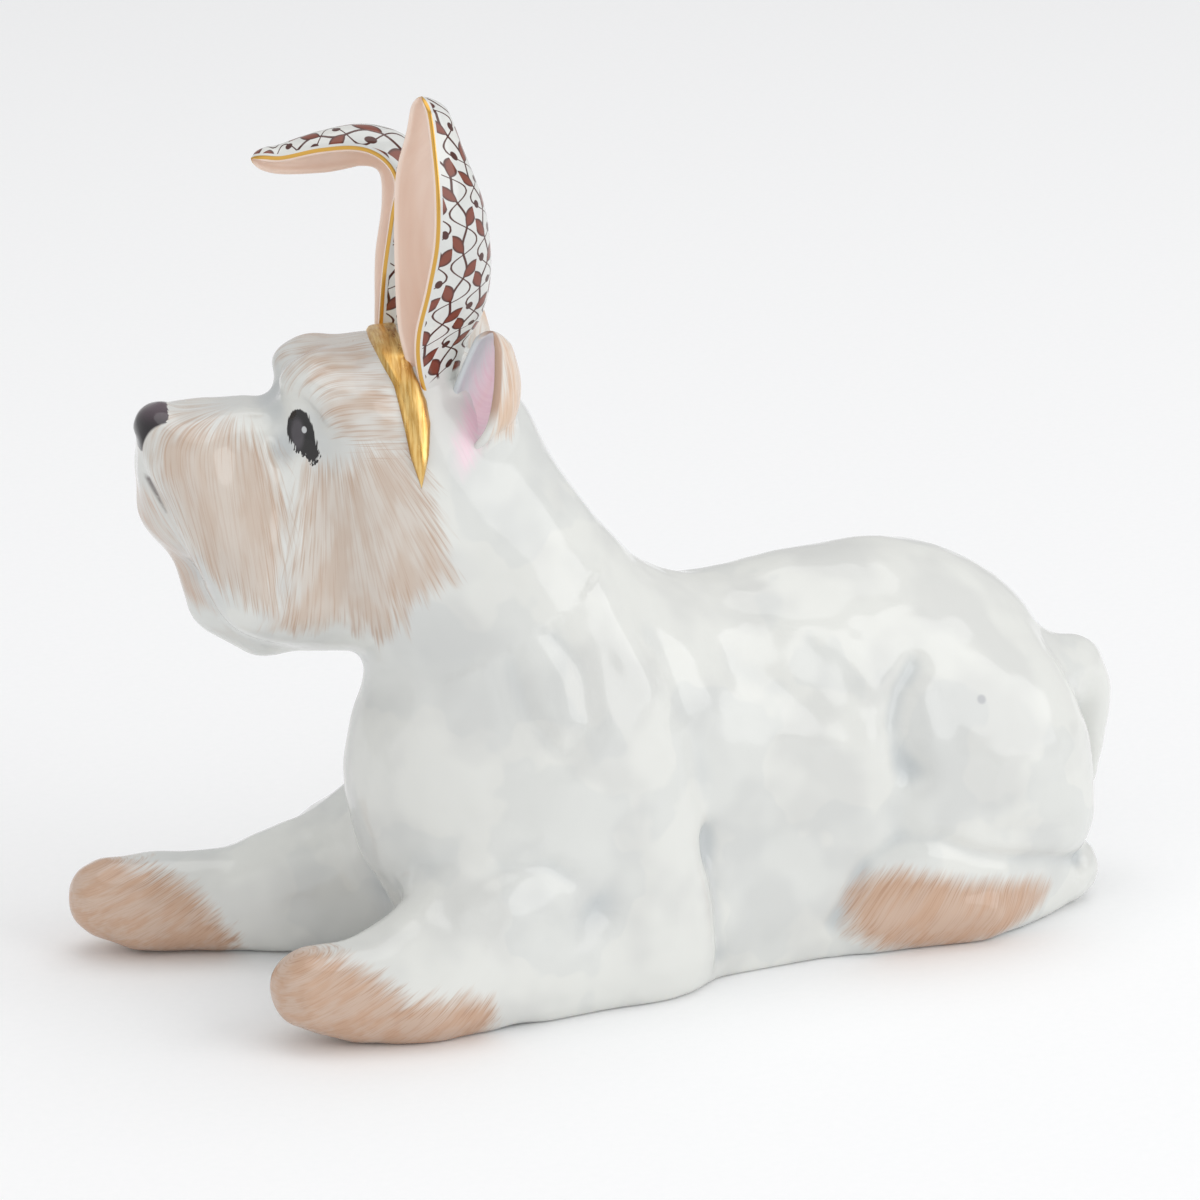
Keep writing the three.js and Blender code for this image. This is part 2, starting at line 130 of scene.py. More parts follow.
solids = {name: welded(name) for name in CASTINGS}
surfaces = {name: BVHTree.FromPolygons(*solid) for name, solid in solids.items()}
print("castings:", ", ".join(CASTINGS))

# %% [markdown]
# The castings meet at seams with a gap of 0.3 mm. To close a seam, the rim of each piece is pushed a
# little way into its neighbour, as a maker presses it on. The middle and the direction of each seam are
# kept, because the finished skin is cut there again.

# %% Close the seams
SEAM_REACH = 0.45
SEAM_OVERLAP = 0.6
CUT_MARGIN = 1.5

seam_planes = {}
for name, neighbour in SEAMS.items():
    corners, faces = solids[name]
    closed = []
    rim = []
    for corner in corners:
        point, _, _, gap = surfaces[neighbour].find_nearest(corner)
        if gap < SEAM_REACH:
            rim.append(corner)
            corner = corner + (point - corner).normalized() * SEAM_OVERLAP
        closed.append(corner)
    middle = np.mean(rim, axis=0)
    _, _, axes = np.linalg.svd(np.array(rim) - middle)
    way = axes[2] * np.sign((np.mean(corners, axis=0) - middle) @ axes[2])
    spread = np.linalg.norm(np.array(rim) - middle, axis=1).max()
    seam_planes[name] = (Vector(middle) * MM, Vector(way), (spread + CUT_MARGIN) * MM)
    solids[name] = (closed, faces)
print("seams:", len(seam_planes))

# %% [markdown]
# A boolean union of the pieces would keep every facet and fail where faces coincide. A voxel remesh takes
# the outside of all of them together instead, as one even net of squares.

# %% Join the castings into one skin
CELL = 0.5

corners = []
faces = []
for solid_corners, solid_faces in solids.values():
    first = len(corners)
    corners += [c * MM for c in solid_corners]
    faces += [[first + i for i in f] for f in solid_faces]
joined = bpy.data.meshes.new("joined")
joined.from_pydata(corners, [], faces)
rough = added("rough", joined)
remesh = rough.modifiers.new("remesh", "REMESH")
remesh.mode = "VOXEL"
remesh.voxel_size = CELL * MM
skin = bpy.data.meshes.new_from_object(rough.evaluated_get(bpy.context.evaluated_depsgraph_get()))
bpy.data.objects.remove(rough)
print("skin:", len(skin.vertices), "points,", len(skin.polygons), "faces")

# %% [markdown]
# The net still shows the facets of the castings, and sharp creases where two pieces cross. Plain
# smoothing would shrink thin parts. Two passes that take turns, one that pulls each point to the middle
# of its neighbours and one that pushes it back a little further, remove small bumps and keep the size.
# The creases along the seams get plain smoothing, which fills them as slip and glaze do.

# %% Smooth the skin
SMOOTHING_PASSES = 70
PULL = 0.5
PUSH = -0.52
FILLET = 1.6
FILLET_PASSES = 40
DEEP_FILLET = 4.0
SEARCH_REACH = 4.0

edge_ends = np.empty(2 * len(skin.edges), np.int32)
skin.edges.foreach_get("vertices", edge_ends)
edge_ends = edge_ends.reshape(-1, 2)
points = np.empty(3 * len(skin.vertices))
skin.vertices.foreach_get("co", points)
points = points.reshape(-1, 3) / MM
degree = np.bincount(edge_ends.ravel(), minlength=len(points))[:, None]


def neighbour_mean(values):
    """The mean of each point's neighbours, for values of any width."""
    total = np.zeros_like(values)
    for axis in range(values.shape[1]):
        total[:, axis] += np.bincount(edge_ends[:, 0], values[edge_ends[:, 1], axis], len(values))
        total[:, axis] += np.bincount(edge_ends[:, 1], values[edge_ends[:, 0], axis], len(values))
    return total / np.maximum(degree, 1)


def distances(tree, box, among, reach):
    """How far each point is from a surface, up to a reach."""
    low = np.min(box, axis=0) - reach
    high = np.max(box, axis=0) + reach
    result = np.full(len(among), np.inf)
    for i in np.flatnonzero(np.all((among > low) & (among < high), axis=1)):
        hit = tree.find_nearest(among[i], reach)
        if hit[0] is not None:
            result[i] = hit[3]
    return result


near = {name: distances(surfaces[name], solids[name][0], points, SEARCH_REACH) for name in CASTINGS}
at_seam = np.zeros(len(points))
for name, neighbour in SEAMS.items():
    seam_gap = np.maximum(near[name], near[neighbour])
    at_seam = np.maximum(at_seam, np.clip(1 - seam_gap / (2 * FILLET), 0, 1))
chest_fold = np.maximum(near["right_foreleg"], near["torso"])
at_seam = np.maximum(at_seam, np.clip(1 - chest_fold / DEEP_FILLET, 0, 1))
at_seam = np.clip(2 * at_seam, 0, 1)[:, None]
for _ in range(FILLET_PASSES):
    points += PULL * at_seam * (neighbour_mean(points) - points)
for _ in range(SMOOTHING_PASSES):
    for pull in (PULL, PUSH):
        points += pull * (neighbour_mean(points) - points)
points[:, 2] = np.maximum(points[:, 2], 0)
print("seam points:", int((at_seam > 0).sum()))

# %% [markdown]
# The points are worked on as plain numbers, which is quick for a skin of this size. Blender gets them
# back and works out the normals, along which the folds are pressed.

# %% Write the points back and read the normals


def settled(values):
    """Sets the skin's points and returns its normals."""
    skin.vertices.foreach_set("co", (values * MM).astype(np.float32).ravel())
    skin.update()
    found = np.empty(3 * len(skin.vertices), np.float32)
    skin.vertices.foreach_get("normal", found)
    return found.reshape(-1, 3).astype(float)


normals = settled(points)

# %% [markdown]
# The head is turned a little to the dog's right, so its features are easiest to place in a frame of its
# own: x runs back from the nose, y across the face and z up.

# %% The head's own frame
HEAD_TURN = math.radians(20)
HEAD_SEAT = MARK + [-11.65, -6.5, 0.0]
HEAD_AXES = np.array(
    [
        [math.cos(HEAD_TURN), -math.sin(HEAD_TURN), 0.0],
        [math.sin(HEAD_TURN), math.cos(HEAD_TURN), 0.0],
        [0.0, 0.0, 1.0],
    ]
)


def to_head(places):
    """Places in the head's frame."""
    return (places - HEAD_SEAT) @ HEAD_AXES.T


def from_head(places):
    """Places in the dog's frame."""
    return np.asarray(places) @ HEAD_AXES + HEAD_SEAT


print("lowest x, y and z of the head:", to_head(points)[near["head"] < 1].min(axis=0).round(1))

# %% [markdown]
# The modeller pressed the folds of the coat into the clay with a tool and pulled tufts up beside them.
# Sculpting by hand couldn't be repeated by a script, so each fold here is a path seen from the side.
# Points of the skin close to it move in or out along their normal, most of all on the path itself.

# %% Distances to a path and into an outline


def path_distance(places, path, closed=False):
    """How far each place is from a path in the plane."""
    path = np.asarray(path, float)
    ends = np.roll(path, -1, axis=0) if closed else path[1:]
    result = np.full(len(places), np.inf)
    for start, end in zip(path, ends):
        way = end - start
        share = np.clip((places - start) @ way / (way @ way), 0, 1)
        result = np.minimum(result, np.linalg.norm(places - start - share[:, None] * way, axis=1))
    return result


def depth_inside(places, outline):
    """How far each place lies inside an outline, negative outside it."""
    outline = np.asarray(outline, float)
    inside = np.zeros(len(places), bool)
    for (ax, ay), (bx, by) in zip(outline, np.roll(outline, -1, axis=0)):
        crosses = (ay > places[:, 1]) != (by > places[:, 1])
        if ay != by:
            inside ^= crosses & (places[:, 0] < (bx - ax) * (places[:, 1] - ay) / (by - ay) + ax)
    distance = path_distance(places, outline, closed=True)
    return np.where(inside, distance, -distance)


# %% [markdown]
# The folds are named for the place where they lie, each with its path, its width and its height. A
# negative height presses a fold, a positive one raises a ridge or a tuft. The paths of the body are
# measured from the mark on the table, and those of the head in the head's own frame.

# %% The folds of the coat
BODY_FOLDS = {
    "before the haunch": (
        [(27.8, 36.9), (24.9, 34.5), (23.6, 30.3), (24.1, 27.3), (26.2, 24)], 1.9, -1.3,
    ),
    "below it": ([(24, 24), (23.8, 18)], 2.4, -0.7),
    "tuft behind it": ([(28.2, 32.5), (28.4, 28)], 1.4, 0.4),
    "over the hind foot": (
        [(54, 6.6), (45, 9.6), (34.6, 12.4), (28.8, 15.2), (23.9, 15.4), (20.2, 13), (16.4, 5)], 1.2, -0.9,
    ),
    "swell of the hind foot": ([(20, 5), (26, 6.5), (34, 5.5), (43, 3.5)], 3.2, 0.7),
    "above the heel": ([(36, 15.4), (48, 14.2)], 1.6, -0.5),
    "behind the shoulder": ([(-8, 46), (-3, 30), (-1.2, 18)], 2.6, -0.8),
    "behind the elbow": ([(-1.6, 20), (-0.6, 11), (0.4, 3)], 1.2, -1.0),
    "over the foreleg": (
        [(-38.2, 16.2), (-37, 18), (-31.1, 20.8), (-25.5, 20.6), (-22.5, 18.6)], 1.4, -0.8,
    ),
    "swell of the foreleg": ([(-31, 15.5), (-24, 14.5)], 2.6, 0.5),
    "round the shoulder tuft": (
        [(-27.6, 46), (-26.4, 38), (-22.8, 33.4), (-19.4, 37), (-19.6, 44), (-23, 49)], 1.7, -0.7,
    ),
    "ridge of the neck": ([(-20, 62.6), (-15.4, 51), (-11, 40)], 2.6, 0.8),
    "tuft on the breast": ([(-27, 51), (-29, 46), (-33, 43)], 2.0, 0.4),
    "ridge on the flank": ([(8, 47), (18, 41), (21, 36)], 2.4, 0.5),
    "hollow under the ridge": ([(4, 40), (13, 33)], 2.0, -0.45),
}
HEAD_FOLDS = {
    "between muzzle and cheek": ([(-36.2, 70), (-36.4, 62), (-37.2, 53)], 1.5, -0.85),
    "before the eye": ([(-37.6, 75.6), (-36.6, 70)], 1.9, -0.8),
    "mouth": (
        [(-53.6, 69.4), (-52.6, 66.4), (-50.4, 62.8), (-49.1, 58.9), (-46.4, 53.3)], 0.7, -0.5,
    ),
    "upper lip": ([(-51.4, 67.4), (-49.2, 63.6), (-47.6, 59.4), (-45.6, 54.6)], 1.2, 0.35),
    "brow": ([(-36.5, 76.6), (-34, 77.4), (-31.8, 76.4), (-30.6, 73.8)], 1.1, 0.45),
    "upper lid": ([(-34.9, 75.6), (-33.6, 75.4), (-32.2, 73.6)], 0.7, -0.4),
}
print("folds:", len(BODY_FOLDS), "on the body and", len(HEAD_FOLDS), "on the head")

# %% [markdown]
# Both sides of the body get its folds, and skin of the body that faces up or forward gets none. Hands
# leave soft waves in the clay between them, which a slow noise gives. A light smoothing settles the skin
# in the end, as a damp sponge does.

# %% Press the folds of the coat
WAVE_HEIGHT = 0.26
SETTLE_PASSES = 4
SETTLE_PULL = 0.3


def moved(places, side_way, folds):
    """How far each place moves along its normal for some folds: their paths, widths and heights."""
    total = np.zeros(len(places))
    for path, width, height in folds.values():
        distance = path_distance(places, path)
        total += height * np.exp(-((distance / width) ** 2)) * side_way
    return total


body_side = np.clip(1.6 * np.abs(normals[:, 1]) - 0.2, 0, 1)
on_body = np.minimum.reduce([near["torso"], near["left_foreleg"], near["right_foreleg"]]) < near["head"]
push = moved((points - MARK)[:, [0, 2]], body_side * on_body, BODY_FOLDS)
face = to_head(points)
on_head = near["head"] < near["torso"]
push += moved(face[:, [0, 2]], on_head * 1.0, HEAD_FOLDS)
sway = np.array(
    [
        noise.noise((x * 0.11 + z * 0.05, y * 0.13, z * 0.13 - x * 0.05))
        + 0.5 * noise.noise((x * 0.3, y * 0.3, z * 0.3))
        for x, y, z in points
    ]
)
push += WAVE_HEIGHT * sway * np.where(on_head, 0.4, 1.0) * np.clip(points[:, 2] / 3, 0, 1)
points += push[:, None] * normals
for _ in range(SETTLE_PASSES):
    points += SETTLE_PULL * (neighbour_mean(points) - points)
points[:, 2] = np.maximum(points[:, 2], 0)
normals = settled(points)
print("deepest fold:", round(float(push.min()), 2), "mm")

# %% [markdown]
# Each ear is a cupped leaf. It passes through nearly the same stations as the casting, a little narrower
# at the foot of the dog's own ears. A station is a place on the ear's middle line, the way that the
# hollow opens there, the width of its mouth and the depth of its back. Those of the dog's own ears also
# say how much of that depth is hollow, which leaves their foot solid.

# %% The stations of the ears
OUTWARD = (-0.945, -0.326, 0)
AHEAD = (-1, 0, 0)
FOLDED = (0, -0.56, -0.83)
HARE_EARS = {
    "left_hare_ear": [
        ((-18.6, -9, 73), OUTWARD, 3, 3),
        ((-20.2, -9.2, 78.85), OUTWARD, 3.2, 6.4),
        ((-20.9, -9.4, 83.9), OUTWARD, 5.6, 9),
        ((-20.4, -9.5, 90.2), OUTWARD, 9.4, 9.9),
        ((-19.9, -9.4, 96), OUTWARD, 11.8, 9),
        ((-19.7, -9.2, 101.9), OUTWARD, 11.3, 7.2),
        ((-19.3, -8.9, 106.9), OUTWARD, 7.6, 4.8),
        ((-19.2, -8.6, 110.0), OUTWARD, 5.4, 3.4),
        ((-19.2, -8.4, 112), OUTWARD, 3.4, 2.2),
    ],
    "right_hare_ear": [
        ((-22.8, 8, 76), AHEAD, 4, 5),
        ((-22.6, 8, 82), AHEAD, 5.5, 6.6),
        ((-22.3, 8, 88), AHEAD, 8.6, 7),
        ((-21.4, 8, 94.5), AHEAD, 9.4, 6.4),
        ((-21.4, 8, 99), (-0.8, -0.15, -0.5), 8.8, 5),
        ((-24.4, 8, 101.2), (-0.4, -0.4, -0.8), 8.2, 4),
        ((-29.5, 8, 101), FOLDED, 7.4, 3.4),
        ((-34.6, 8, 100.6), FOLDED, 5.0, 2.4),
        ((-38, 8, 101.4), FOLDED, 2.6, 1.5),
    ],
}
DOG_EAR = [
    (-14.6, 8, 64, 2, 2, 0),
    (-14.8, 10.2, 70, 5, 6.2, 0),
    (-13.8, 11.5, 74, 7.4, 6.8, 0.2),
    (-12.9, 12.4, 78, 6.8, 6.1, 0.32),
    (-12.1, 12.8, 82, 4.8, 4, 0.4),
    (-11.5, 13, 84.4, 2.8, 2.1, 0.4),
]


def dog_ear(side, ahead):
    """The stations of a dog ear, on the left where the side is -1."""
    opening = (-0.8, side * 0.6, 0)
    return [((x - ahead, y * side, z), opening, *sizes) for x, y, z, *sizes in DOG_EAR]


stations = {**HARE_EARS, "left_dog_ear": dog_ear(-1, 0), "right_dog_ear": dog_ear(1, 1)}
print("stations:", {name: len(rows) for name, rows in stations.items()})

# %% [markdown]
# Straight walls between the stations would show as bends in the glaze. A curve that passes through every
# station gives many rings between them, and the rings are joined by a band of squares.

# %% Curves and tubes


def through(rows, shares):
    """A smooth curve through rows of values, at shares of its length between 0 and 1."""
    rows = np.asarray(rows, float)
    rows = np.vstack([2 * rows[0] - rows[1], rows, 2 * rows[-1] - rows[-2]])
    at = np.asarray(shares) * (len(rows) - 3)
    first = np.minimum(at.astype(int), len(rows) - 4)
    t = (at - first)[:, None]
    a, b, c, d = (rows[first + i] for i in range(4))
    return b + t / 2 * (c - a + t * (2 * a - 5 * b + 4 * c - d + t * (3 * (b - c) + d - a)))


def tube_faces(rings, ring):
    """The faces between rings of corners that follow each other."""
    faces = []
    for i in range(rings - 1):
        for j in range(ring):
            k = (j + 1) % ring
            faces.append((i * ring + j, i * ring + k, (i + 1) * ring + k, (i + 1) * ring + j))
    return faces


# %% [markdown]
# A ring follows the clay of the leaf all the way round: over its back, round one lip, through the hollow
# and round the other lip. The lips are half circles, because glaze leaves no sharp edge.

# %% The section of an ear
LIP = 0.9
ARC = 30
LIP_STEPS = 6


def ear_section(mouth, back, hollow):
    """The outline of a cupped leaf: over its back, round a lip, through the hollow, round a lip."""
    lip = min(LIP, mouth / 4)
    inner = mouth / 2 - lip
    outer_turn = np.linspace(0, math.pi, ARC)
    outside = np.stack([mouth / 2 * np.cos(outer_turn), -back * np.sin(outer_turn)], 1)
    lip_turn = np.linspace(math.pi, 0, LIP_STEPS + 2)[1:-1]
    lip_rise = lip / 2 * np.sin(lip_turn)
    far_lip = np.stack([-mouth / 2 + lip / 2 + lip / 2 * np.cos(lip_turn), lip_rise], 1)
    inside = np.stack([inner * np.cos(outer_turn), -back * hollow * np.sin(outer_turn)], 1)[::-1]
    near_lip = np.stack([mouth / 2 - lip / 2 + lip / 2 * np.cos(lip_turn), lip_rise], 1)
    return np.vstack([outside, far_lip, inside, near_lip])


# %% [markdown]
# Each ring stands square to the middle line, and the last rings shrink to round off the tip. Every point
# keeps three measures for the painter: how far up the ear it is, how far round, and how far from the lip.

# %% Loft the ears
HOLLOW = 0.66
RINGS = 110
TIP = 1.8


def lofted(stations):
    """An ear's corners and faces, and each corner's distance up, round the back and from the lip."""
    shares = np.linspace(0, 1, RINGS)
    middles = through([s[0] for s in stations], shares)
    openings = through([s[1] for s in stations], shares)
    widths = through([(*s[2:], HOLLOW)[:3] for s in stations], shares)
    tangents = np.gradient(middles, axis=0)
    tangents /= np.linalg.norm(tangents, axis=1)[:, None]
    heights = np.concatenate([[0], np.cumsum(np.linalg.norm(np.diff(middles, axis=0), axis=1))])
    corners = []
    measures = []
    for middle, tangent, opening, (mouth, back, hollow), height in zip(
        middles, tangents, openings, widths, heights
    ):
        tip = math.sqrt(max(1 - max(0.0, 1 - (heights[-1] - height) / TIP) ** 2, 0.01))
        mouth *= tip
        back *= tip
        opening = opening - (opening @ tangent) * tangent
        opening /= np.linalg.norm(opening)
        across = np.cross(tangent, opening)
        section = ear_section(mouth, back, hollow)
        corners.append(middle + section[:, :1] * across + section[:, 1:] * opening)
        steps = np.linalg.norm(np.diff(section, axis=0, append=section[:1]), axis=1)
        arc = np.concatenate([[0], np.cumsum(steps)[:-1]])
        girth = arc[ARC - 1]
        over_back = np.minimum(arc, girth - arc)
        in_hollow = -np.minimum(arc - girth, steps.sum() - arc)
        from_lip = np.where(arc <= girth, over_back, in_hollow)
        measures.append(np.stack([np.full(len(arc), height), arc - girth / 2, from_lip], 1))
    ring = len(corners[0])
    faces = tube_faces(RINGS, ring)
    corners = np.vstack(corners)
    measures = np.vstack(measures)
    tip = corners[-ring:].mean(axis=0) + 0.05 * tangents[-1]
    corners = np.vstack([corners, tip])
    measures = np.vstack([measures, measures[-ring:].mean(axis=0)])
    last = (RINGS - 1) * ring
    faces += [(last + j, last + (j + 1) % ring, len(corners) - 1) for j in range(ring)]
    faces.append(tuple(range(ring))[::-1])
    return from_head(corners), faces, measures


ears = {name: lofted(rows) for name, rows in stations.items()}
for name, (corners, faces, _) in ears.items():
    print(name, len(faces), "faces, top", corners[:, 2].max().round(1), "mm")

# %% [markdown]
# The skin already runs up onto the ears in a soft fillet. Only that collar is kept of its ears: higher
# up it sinks under the lofted leaf, so that head and ear pass into each other without a crease.

# %% Keep a collar round each ear
SINK = 0.25
COLLAR = {"left_dog_ear": 4.0, "right_dog_ear": 4.0, "left_hare_ear": 1.8, "right_hare_ear": 1.8}
owner = np.argmin(np.stack([near[name] for name in CASTINGS]), axis=0)
keep = np.ones(len(points), bool)
for name in EARS:
    corners, faces, _ = ears[name]
    leaf = BVHTree.FromPolygons([tuple(c) for c in corners], faces)
    mine = np.flatnonzero(owner == CASTINGS.index(name))
    for i in mine:
        rise = min(near["head"][i] / COLLAR[name], 1.0)
        spot, outward, _, _ = leaf.find_nearest(points[i])
        sunk = np.array(spot) - SINK * np.array(outward)
        blend = rise * rise * (3 - 2 * rise)
        points[i] += blend * (sunk - points[i])
        keep[i] = near["head"][i] < COLLAR[name] + CELL
    owner[mine] = CASTINGS.index("head")
normals = settled(points)
print("collar points:", int((~keep).sum()), "points dropped")

# %% [markdown]
# The painter fills patches of the coat with hairs. Each patch has an outline, seen from the side of the
# head and measured in its own frame. An image would blur up close, while an outline of numbers stays
# sharp at any size.

# %% The painted patches of the head
MUZZLE = [
    (-51.7, 71.2), (-49.9, 72.6), (-46.4, 73.2), (-42.9, 72.4), (-39.8, 71), (-37, 69.4),
    (-36.2, 67.1), (-35.3, 61.6), (-36.4, 56.2), (-37.6, 50.4), (-41.2, 51), (-43.3, 52.8),
    (-44.3, 52.6), (-46.4, 54.7), (-49.5, 60.4), (-51.1, 65.9), (-52.3, 68.8),
]
CHIN = [
    (-54.5, 65.8), (-54, 59.3), (-51.2, 57), (-49.9, 53), (-48.6, 49.2), (-44.4, 48.7),
    (-46.5, 53.6), (-49.5, 59.9), (-51.2, 63.3),
]
CHEEK = [
    (-34.2, 68.2), (-30.3, 68.1), (-26.8, 70.8), (-21.5, 71.4), (-19.1, 65.8), (-17.4, 59.9),
    (-16.4, 54.4), (-19.2, 52.3), (-22.1, 51.7), (-22.8, 47.3), (-24.9, 45.9), (-27.8, 47.1),
    (-29.5, 48), (-34.1, 47.8), (-38.3, 48), (-38, 49.8), (-36.2, 53.4), (-35.2, 58.8),
    (-34.7, 64.3),
]
FOREHEAD = [
    (-36.9, 81.6), (-35.4, 84.5), (-31.2, 85), (-26.3, 84.5), (-25.3, 81.9), (-22.9, 76.4),
    (-21.6, 70.5), (-26.5, 70), (-30, 72.3), (-31.4, 74.5), (-32, 76.7), (-34.1, 79.3),
    (-35.2, 77.2), (-35.8, 78.7), (-36.9, 79.8),
]
MOUTH = [(-52.8, 66.1), (-52.2, 66.1), (-51.6, 64.8), (-50.3, 61.8), (-51.9, 64.5)]
EYE = [
    (-34.7, 74.3), (-33.9, 74.4), (-33.2, 73.8), (-32.6, 72.6), (-32.3, 71.1), (-31.9, 69.2),
    (-32.3, 68.1), (-32.9, 67.9), (-33.6, 68.8), (-34.5, 69.4), (-35, 70.3), (-35.5, 71.1),
    (-35.7, 72.1), (-35.4, 73.3),
]
NOSE = [
    (-57, 75), (-52, 74.2), (-49.2, 74.1), (-49.4, 72.6), (-51, 70.8), (-52.1, 69.6),
    (-52.8, 68.9), (-57, 68.4),
]
EAR_PINK = [
    (-10, 85), (-12, 82), (-13.2, 79), (-14.2, 76), (-15.2, 73.5), (-16.3, 71),
    (-16.2, 68.5), (-15.3, 66.8), (-13.8, 68.2), (-12.4, 70.8), (-9.5, 74), (-8.5, 78),
    (-9, 82),
]
EAR_BACK = [
    (-11.2, 84.9), (-10, 86), (-8, 84.5), (-5.5, 78.4), (-5, 73.6), (-8.2, 70.8),
    (-9.6, 71), (-10.7, 71.4), (-11.9, 71.4), (-12, 74), (-11.3, 78), (-10.9, 82),
]
print("muzzle patch:", round(float(np.ptp(MUZZLE, axis=0)[1]), 1), "mm high")

# %% [markdown]
# The painter works with the direction of the coat. Hairs hang round the muzzle, fan out over the cheek
# and lie level on the skull. A flow says so with two measures of each place, one along the hairs and one
# across them, and a material can draw finer hairs along it than an image would hold.

# %% The flow of the hairs
MUZZLE_AXIS = -40
MUZZLE_RADIUS = 12
FAN_CENTRE = (-30.9, 80.4)
FAN_RADIUS = 22
BROW = -29.0
SKULL_AXIS = 68
SKULL_RADIUS = 14


def muzzle_flow(x, y, z):
    """Hairs that hang straight down round the muzzle, and lean back towards the nose."""
    lean = 0.3 * np.clip((-32 - x) / 18, 0, 1) * (z - 62)
    return z, MUZZLE_RADIUS * np.arctan2(MUZZLE_AXIS - x, np.abs(y)) - lean


def chin_flow(x, y, z):
    """Hairs that lean back along the lip."""
    return z, MUZZLE_RADIUS * np.arctan2(MUZZLE_AXIS - x, np.abs(y)) - 0.45 * (z - 57)


def cheek_flow(x, y, z):
    """Hairs that fan out from above the eye."""
    dx = x - FAN_CENTRE[0]
    dz = z - FAN_CENTRE[1]
    return np.hypot(dx, dz), FAN_RADIUS * np.arctan2(dx, -dz)


def forehead_flow(x, y, z):
    """Hairs that run level over the skull and droop over the brow."""
    up_side = SKULL_RADIUS * np.arctan2(z - SKULL_AXIS, np.abs(y))
    ahead = np.clip(BROW - x, 0, 9)
    return x, up_side + 0.09 * ahead**2


def upright_flow(x, y, z):
    """Hairs that stand straight up, leaning back a little."""
    return z, 0.8 * x - 0.6 * np.abs(y) + 0.2 * (z - 75)


HEAD_PATCHES = {
    "muzzle": (MUZZLE, muzzle_flow),
    "chin": (CHIN, chin_flow),
    "cheek": (CHEEK, cheek_flow),
    "forehead": (FOREHEAD, forehead_flow),
    "ear_back": (EAR_BACK, upright_flow),
    "ear_pink": (EAR_PINK, upright_flow),
}
print("patches of the head:", ", ".join(HEAD_PATCHES))

# %% [markdown]
# The toes are painted in a warmer brown. The hairs of the forepaws rise from the sole and stand steeper
# further back, and those of the hind foot lean forward. The outlines are seen from the dog's side again.
# They run on below the table, so that the paint reaches the rim of the sole.

# %% The painted paws
HIND_FOOT = [
    (17.2, 7.4), (17.8, 9.4), (20.2, 11.2), (24, 12), (29, 11), (33, 9.6),
    (38, 8.6), (45, 7.2), (47, 5), (46, 3), (40, 0.6), (33, -1.5),
    (24, 0.2), (20, 2), (17.6, 3.8),
]
NEAR_PAW = [
    (-66, -3), (-66, 14), (-55.1, 14), (-51.2, 12.4), (-48.4, 10.8), (-46.2, 9),
    (-44, 7), (-41, 7.2), (-37, 6.9), (-34, 5.8), (-32.8, 4), (-32.2, -3),
]
FAR_PAW = [
    (-76, -3), (-76, 16), (-60.6, 16), (-59.4, 12.4), (-56, 11.4), (-53.4, 9.6),
    (-51.8, 7), (-49.8, 4.4), (-48, 1.6), (-47.4, -3),
]


def hind_flow(x, z):
    """Hairs that lean forward at the toes and stand up towards the heel."""
    lean = np.clip(0.75 - (x - 18) * 0.012, 0.3, 1)
    return z, x - lean * z


PAW_TIPS = (((-63.5, 21, 0), (0.93, -0.36)), ((-58.5, -17, 0), (0.99, -0.1)))


def paw_flow(places):
    """Hairs that rise from the sole, almost level at the toes and steeper further back."""
    along = np.empty(len(places))
    across = np.empty(len(places))
    for (tip, way), rows in zip(PAW_TIPS, (places[:, 1] > 0, places[:, 1] <= 0)):
        back = (places[rows, 0] - tip[0]) * way[0] + (places[rows, 1] - tip[1]) * way[1]
        rise = places[rows, 2]
        across[rows] = 0.6 * (back - 1.5 * rise) / (1 - 0.04 * rise)
        along[rows] = back + 0.7 * rise
    return along, across


# %% [markdown]
# A material can't measure against an outline, but it reads numbers that are kept on the points of a mesh.
# So the depth inside each outline and the flow are worked out for every point, once.

# %% Depths and flows for the painter
FAR_OUTSIDE = -9
FACE_SWAY = 0.1
FOOT_SWAY = 0.3


def painted(places, head_side, hind_side, paw_side):
    """The depth and flow of each patch at the places, by name."""
    result = {}
    seen = to_head(places)
    flat = seen[:, [0, 2]]
    for name, (outline, flow) in HEAD_PATCHES.items():
        along, across = flow(*seen.T)
        depth = np.where(head_side, depth_inside(flat, outline), FAR_OUTSIDE)
        result[name] = (depth, np.stack([along, across, FACE_SWAY * seen[:, 1]], 1))
    flat = (places - MARK)[:, [0, 2]]
    along, across = hind_flow(flat[:, 0], flat[:, 1])
    depth = np.where(hind_side, depth_inside(flat, HIND_FOOT), FAR_OUTSIDE)
    result["hind"] = (depth, np.stack([along, across, FOOT_SWAY * places[:, 1]], 1))
    along, across = paw_flow(places - MARK)
    depth = np.where(places[:, 1] > 0, depth_inside(flat, FAR_PAW), depth_inside(flat, NEAR_PAW))
    depth = np.where(paw_side, depth, FAR_OUTSIDE)
    result["paw"] = (depth, np.stack([along, across, FOOT_SWAY * places[:, 1]], 1))
    return result


def store(mesh, name, values):
    """Keeps one number or three for each point of a mesh."""
    values = np.asarray(values, np.float32)
    kind, key = ("FLOAT", "value") if values.ndim == 1 else ("FLOAT_VECTOR", "vector")
    layer = mesh.attributes.new(name, kind, "POINT")
    layer.data.foreach_set(key, values.ravel())


# %% [markdown]
# Glaze runs together in the folds and shade is painted there, so the points of the skin also keep how
# hollow it is there. In a hollow, the middle of a point's neighbours lies above the skin, and on a bump it
# lies below.

# %% Measure every point of the skin
HOLLOW_BLUR_PASSES = 14
HIND_FROM = 10
PAWS_UP_TO = -25
EAR_INNER_SIDE = 9.5
EAR_FRONT = -11.8

